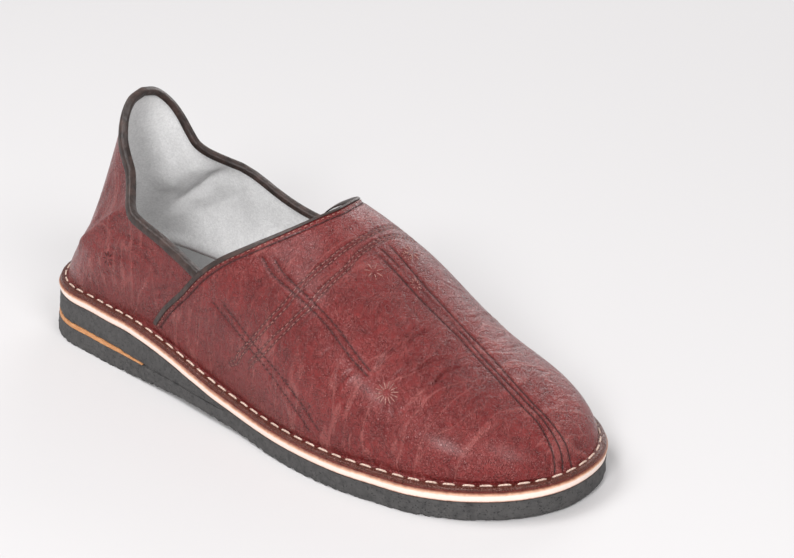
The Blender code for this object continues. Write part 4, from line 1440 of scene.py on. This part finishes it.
def collar_rings():
    """The folded strip over the topline of the quarter, from the outer side of the vamp to the inner."""
    grid = quarter_inside
    length = lengths(grid[:, -1])
    at = np.linspace(BINDING_CLEARANCE, length[-1] - BINDING_CLEARANCE, COLLAR_STATIONS)
    edge = along(at, length, grid[:, -1])
    within = along(at, length, grid[:, -1 - EDGE_DEPTH])
    out, up, down = edge_frame(edge, within)
    leg = BINDING_THICKNESS
    near = WALL + BINDING_CLEARANCE
    far = near + leg
    low = down * COLLAR_BINDING_DEPTH
    low_inside = down * COLLAR_INSIDE_DEPTH
    top = up * BINDING_CLEARANCE
    back = BINDING_CLEARANCE + leg
    return np.stack([
        edge + out * far + low,
        edge + out * far + top * 0.2,
        edge + out * (far * 0.8) + top + up * leg,
        edge + out * WALL / 2 + top + up * leg * 1.2,
        edge - out * back * 0.7 + top + up * leg,
        edge - out * back + top * 0.2,
        edge - out * back + low_inside,
        edge - out * BINDING_CLEARANCE + low_inside,
        edge - out * BINDING_CLEARANCE + top,
        edge + out * near + top,
        edge + out * near + low,
    ], axis=1)


def below_collar(distance, clear=8):
    """A line on the quarter's outer face at a distance below the topline, with its normals. clear: stations
    left out at both ends, and rows between the two points that give the way down."""
    inner = slice(clear, -clear)
    down = unit(quarter_outside[:, -clear] - quarter_outside[:, -1])
    return quarter_outside[inner, -1] + down[inner] * distance, unit(quarter_normal[inner, -clear // 2])


collar = ring_piece("collar_binding_roll", rounded(collar_rings()), [binding])
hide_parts("collar_binding")


def vamp_binding_rings():
    """The strip along the vamp's rear edge, with a lip that covers the edge."""
    grid = vamp_inside[:, BASE_ROWS + SIDE_ROWS:vamp_inside.shape[1] - BASE_ROWS - SIDE_ROWS]
    edge = grid[0]
    inward, back, forward = edge_frame(edge, grid[6])
    out = -inward
    rise = mix(1, FIRST_RISE + 0.06, np.abs(np.linspace(-1, 1, len(edge))))
    free = smoothstep(JOIN_RISE, JOIN_RISE + LIP_FADE, rise)[:, None]
    bottom = mix(WALL + BINDING_CLEARANCE, 0, free)
    top = WALL + OVERLAP_STEP + ROLL_CLEARANCE
    leg = ROLL_THICKNESS
    step = back * ROLL_CLEARANCE
    width = forward * mix(VAMP_BINDING_WIDTH, CROWN_BINDING_WIDTH, smoothstep(*CROWN_FROM, rise))[:, None]
    return np.stack([
        edge + out * (top + leg) + width,
        edge + out * (top + leg) + step,
        edge + out * top + step + back * leg,
        edge + out * bottom + step + back * leg,
        edge + out * bottom + step,
        edge + out * top + step,
        edge + out * top + width,
    ], axis=1)


vamp_roll = ring_piece("vamp_binding_roll", rounded(vamp_binding_rings()), [binding])
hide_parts("vamp_binding")

# %% [markdown]
# The insole is a suede-covered sheet of the foot's shape. Its imported solid is true as it is, so it only
# gets a darker suede, whose darker tone is painted shade from deep inside the shoe.

# %% Insole
dress("insole", insole_suede)
print("insole:", [made.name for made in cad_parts["insole"].data.materials])

# %% [markdown]
# The flange, midsole and rubber are sewn together by one row of thick pale stitches. Each stitch is a
# short cord that dives into the leather at both ends.

# %% Sole stitches
STITCH_PITCH = 0.0072
STITCH_LENGTH = 0.0058
STITCH_RADIUS = 0.00044
STITCH_INSET = 0.0026
STITCH_DRIFT = 0.0003
STITCH_UNEVEN = (0.90, 1.04)
STITCH_LIFT = 0.35
STITCH_STATIONS = 11
STITCH_SIDES = 8
STITCH_DIVE = 0.0009


def tubes(name, paths, outs, radius, look):
    """Many short cords in one mesh. paths: (cords, stations, 3). outs: the surface's normals there.

    Round each station runs a circle of the given radius, and the radius falls to nothing at both ends."""
    run = unit(np.gradient(paths, axis=1))
    side = unit(np.cross(run, outs))
    up = np.cross(side, run)
    cords, stations = paths.shape[:2]
    s = np.linspace(-1, 1, stations)
    swell = radius * np.sqrt(np.clip(1 - np.abs(s) ** 6, 0, 1))[None, :, None, None]
    turn = np.linspace(0, 2 * math.pi, STITCH_SIDES, endpoint=False)[None, None, :, None]
    rings = paths[:, :, None] + swell * (np.cos(turn) * side[:, :, None] + np.sin(turn) * up[:, :, None])
    closed = np.concatenate([rings, rings[:, :, :1]], axis=2)
    one = grid_quads(stations, STITCH_SIDES + 1)
    step = stations * (STITCH_SIDES + 1)
    faces = (one[None] + step * np.arange(cords)[:, None, None]).reshape(-1, 4)
    return build(name, closed.reshape(-1, 3), faces.tolist(), [look], outward=True)


def loop_line(outward):
    """The closed line round the shoe at a distance outside the outline, and its length."""
    line = np.concatenate([offset_side(OUTER, outward), offset_side(INNER, outward)[-2:0:-1]])
    line = np.concatenate([line, line[:1]])
    return line, lengths(line)


def sole_stitches():
    """Stitch centrelines round the flange: level on its top, their ends sunk into it."""
    line, length = loop_line(-STITCH_INSET)
    count = int(length[-1] / STITCH_PITCH)
    pitch = length[-1] / count
    rng = np.random.default_rng(7)
    centre = (np.arange(count) + 0.5) * pitch + rng.uniform(-STITCH_DRIFT, STITCH_DRIFT, count)
    long = STITCH_LENGTH * rng.uniform(*STITCH_UNEVEN, count)
    s = np.linspace(-1, 1, STITCH_STATIONS)
    arc = centre[:, None] + s[None, :] * long[:, None] / 2
    plan = along(arc, length, line)
    height = seat(plan[..., 0]) + WALL + STITCH_RADIUS * STITCH_LIFT - STITCH_DIVE * np.abs(s) ** 5
    paths = np.concatenate([plan, height[..., None]], axis=-1)
    outs = np.zeros_like(paths)
    outs[..., 2] = 1
    return paths, outs


stitch_paths, stitch_outs = sole_stitches()
tubes("sole_stitches", stitch_paths, stitch_outs, STITCH_RADIUS, pale_thread)
print("sole stitches:", len(stitch_paths))

# %% [markdown]
# The upper is sewn by machine with much finer thread, at about nine stitches in 25 mm. Dark thread lies in
# the grooves of most lines, a rosy one in the band's, and the bindings have a row of their own each. The
# lines are known with their normals, so the stitches only need a pitch, a length and a depth.

# %% Fine stitches
FINE_PITCH = 0.0027
FINE_LENGTH = 0.0021
FINE_RADIUS = 0.00019
FINE_DIVE = 0.0005
FINE_STATIONS = 7
COLLAR_ROW = 0.0031


def stitches_on(lines, sink, pitch=FINE_PITCH, length=FINE_LENGTH):
    """Stitch centrelines along lines on the upper, sunk in by a depth and more at both ends."""
    paths, outs = [], []
    s = np.linspace(-1, 1, FINE_STATIONS)
    for line, out in lines:
        run = lengths(line)
        count = max(int(run[-1] / pitch), 1)
        centre = (np.arange(count) + 0.5) * run[-1] / count
        arc = centre[:, None] + s[None, :] * length / 2
        place = along(arc, run, line)
        way = unit(along(arc, run, out))
        depth = -sink - FINE_DIVE * np.abs(s) ** 4
        paths.append(place + way * depth[None, :, None])
        outs.append(way)
    return np.concatenate(paths), np.concatenate(outs)


dark_paths = stitches_on(ray_lines + ridge_lines + edge_row, 0.00030, length=0.0026)
tubes("dark_stitches", *dark_paths, FINE_RADIUS, dark_thread)
tubes("band_stitches", *stitches_on(band_lines, 0.00024), FINE_RADIUS, band_thread)

binding_paths = stitches_on(binding_row, -0.00012, pitch=0.0026, length=0.0017)
tubes("binding_stitches", *binding_paths, FINE_RADIUS, rose_thread)

collar_paths = stitches_on([below_collar(COLLAR_ROW)], -0.00005, length=0.0014)
tubes("collar_stitches", *collar_paths, FINE_RADIUS, dark_thread)

# %% [markdown]
# The stars are embroidered by hand: straight stitches from a small circle to a larger one. A star must not
# be drawn out by the chart it lies in, so its rays are laid out in the tangent plane, in metres, and then
# turned into the chart's two shares.

# %% Embroidered stars
STARS = (
    ("a", "w", "rays", "inner", "outer"),
    (0.306, -0.097, 7, 0.0010, 0.0046),
    (0.599, -0.552, 14, 0.0012, 0.0052),
    (0.300, 0.058, 9, 0.0010, 0.0027),
    (0.376, -0.004, 9, 0.0012, 0.0030),
    (0.306, 0.097, 7, 0.0010, 0.0046),
    (0.599, 0.552, 14, 0.0012, 0.0052),
)
HEEL_STARS = (
    ("a", "w", "rays", "inner", "outer"),
    (-0.525, 0.473, 8, 0.0012, 0.0036),
    (0.525, 0.473, 8, 0.0012, 0.0036),
)
RAY_STATIONS = 7
CHART_STEP = 0.004
STAR_TURN = 0.3


def star_rays(surface, a, w, rays, inner, outer):
    """Stitches from an inner to an outer circle round a place, led over the surface, their ends sunk in.

    The two shares' steps for a step in the tangent plane solve a two by two system."""
    here, normal = surface(np.array([a]), np.array([w]))
    by_a = (surface(np.array([a + CHART_STEP]), np.array([w]))[0] - here)[0] / CHART_STEP
    by_w = (surface(np.array([a]), np.array([w + CHART_STEP]))[0] - here)[0] / CHART_STEP
    ahead = unit(by_a)
    beside = np.cross(normal[0], ahead)
    into = np.linalg.inv(np.array([[by_a @ ahead, by_w @ ahead], [by_a @ beside, by_w @ beside]]))
    turn = (np.arange(rays) + STAR_TURN) * 2 * math.pi / rays
    s = np.linspace(-1, 1, RAY_STATIONS)
    reach = mix(inner, outer, (s + 1) / 2)
    plan = np.stack([np.cos(turn), np.sin(turn)])[:, :, None] * reach
    shares = np.einsum("ij,jkl->ikl", into, plan)
    points, ways = surface(a + shares[0], w + shares[1])
    depth = FINE_RADIUS * 0.5 - FINE_DIVE * np.abs(s) ** 4
    return points + ways * depth[None, :, None], ways


def stars(name, surface, table, look):
    """All stars of a table as one piece."""
    found = [star_rays(surface, a, w, int(n), i, o) for a, w, n, i, o in table[1:]]
    return tubes(name, np.concatenate([p for p, _ in found]), np.concatenate([o for _, o in found]),
                 FINE_RADIUS, look)


stars("vamp_stars", on_vamp, STARS, rose_thread)
stars("heel_stars", on_quarter, HEEL_STARS, dark_thread)
print("stars:", len(STARS) + len(HEEL_STARS) - 2)

# %% [markdown]
# The camera looks at the shoe from the front of its outer side and a little above, through a long lens.
# The floor is plain and pale, and the world is bright, so the shadows are soft. Four square lamps shape the
# shoe: one overhead, one in front of the toe, one behind that lights the inner slope, and a small strong
# one at the outer side.

# %% Camera, floor and lights
CAMERA_AIM = np.array([-0.04597, 0.11591, 0.0])
CAMERA_DISTANCE = 1.1041
CAMERA_AZIMUTH = 40.3
CAMERA_ELEVATION = 25.39
CAMERA_ROLL = -0.33
LENS = 104.95

azimuth = math.radians(CAMERA_AZIMUTH)
elevation = math.radians(CAMERA_ELEVATION)
roll = math.radians(CAMERA_ROLL)
back = np.array([math.sin(azimuth) * math.cos(elevation), -math.cos(azimuth) * math.cos(elevation),
                 math.sin(elevation)])
level = unit(np.cross([0, 0, 1], back))
upward = np.cross(back, level)
right = level * math.cos(roll) + upward * math.sin(roll)
upward = np.cross(back, right)

camera_data = bpy.data.cameras.new("camera")
camera_data.sensor_width = 36
camera_data.lens = LENS
camera = bpy.data.objects.new("camera", camera_data)
place = CAMERA_AIM + back * CAMERA_DISTANCE
matrix = np.eye(4)
matrix[:3] = np.column_stack([right, upward, back, place])
camera.matrix_world = Matrix(matrix.tolist())
bpy.context.scene.collection.objects.link(camera)
bpy.context.scene.camera = camera
print("camera at", np.round(place, 4))

FLOOR_SIZE = 12.0
floor_mesh = bpy.data.meshes.new("floor")
half = FLOOR_SIZE / 2
corners = [(-half, -half, 0), (half, -half, 0), (half, half, 0), (-half, half, 0)]
floor_mesh.from_pydata(corners, [], [(0, 1, 2, 3)])
floor = bpy.data.objects.new("floor", floor_mesh)
bpy.context.scene.collection.objects.link(floor)
floor_look, floor_shader, _ = new_look("pale_floor", 0.9)
floor_shader.inputs["Base Color"].default_value = colour(0.612, 0.600, 0.604)
floor_mesh.materials.append(floor_look)


def soft_light(name, where, aim, size, power):
    """A square area light that looks at a point."""
    data = bpy.data.lights.new(name, "AREA")
    data.shape = "SQUARE"
    data.size = size
    data.energy = power
    lamp = bpy.data.objects.new(name, data)
    lamp.location = where
    way = np.array(aim, dtype=float) - np.array(where)
    lamp.rotation_mode = "QUATERNION"
    lamp.rotation_quaternion = Vector(way.tolist()).to_track_quat("-Z", "Y")
    bpy.context.scene.collection.objects.link(lamp)


soft_light("overhead", (-0.80, -0.50, 1.65), (0, 0, 0), 0.9, 20)
soft_light("front", (1.45, -0.50, 1.35), (0, 0, 0.03), 0.7, 16)
soft_light("behind", (-0.60, 1.8, 0.70), (0, 0, 0.03), 1.2, 14)
soft_light("side", (0.65, -1.50, 1.10), (0, 0, 0.03), 0.5, 23)

world = bpy.data.worlds.new("studio")
world.use_nodes = True
background = world.node_tree.nodes["Background"]
background.inputs["Color"].default_value = colour(1.0, 0.99, 0.99)
background.inputs["Strength"].default_value = 0.39
bpy.context.scene.world = world
bpy.context.scene.view_settings.view_transform = "Standard"
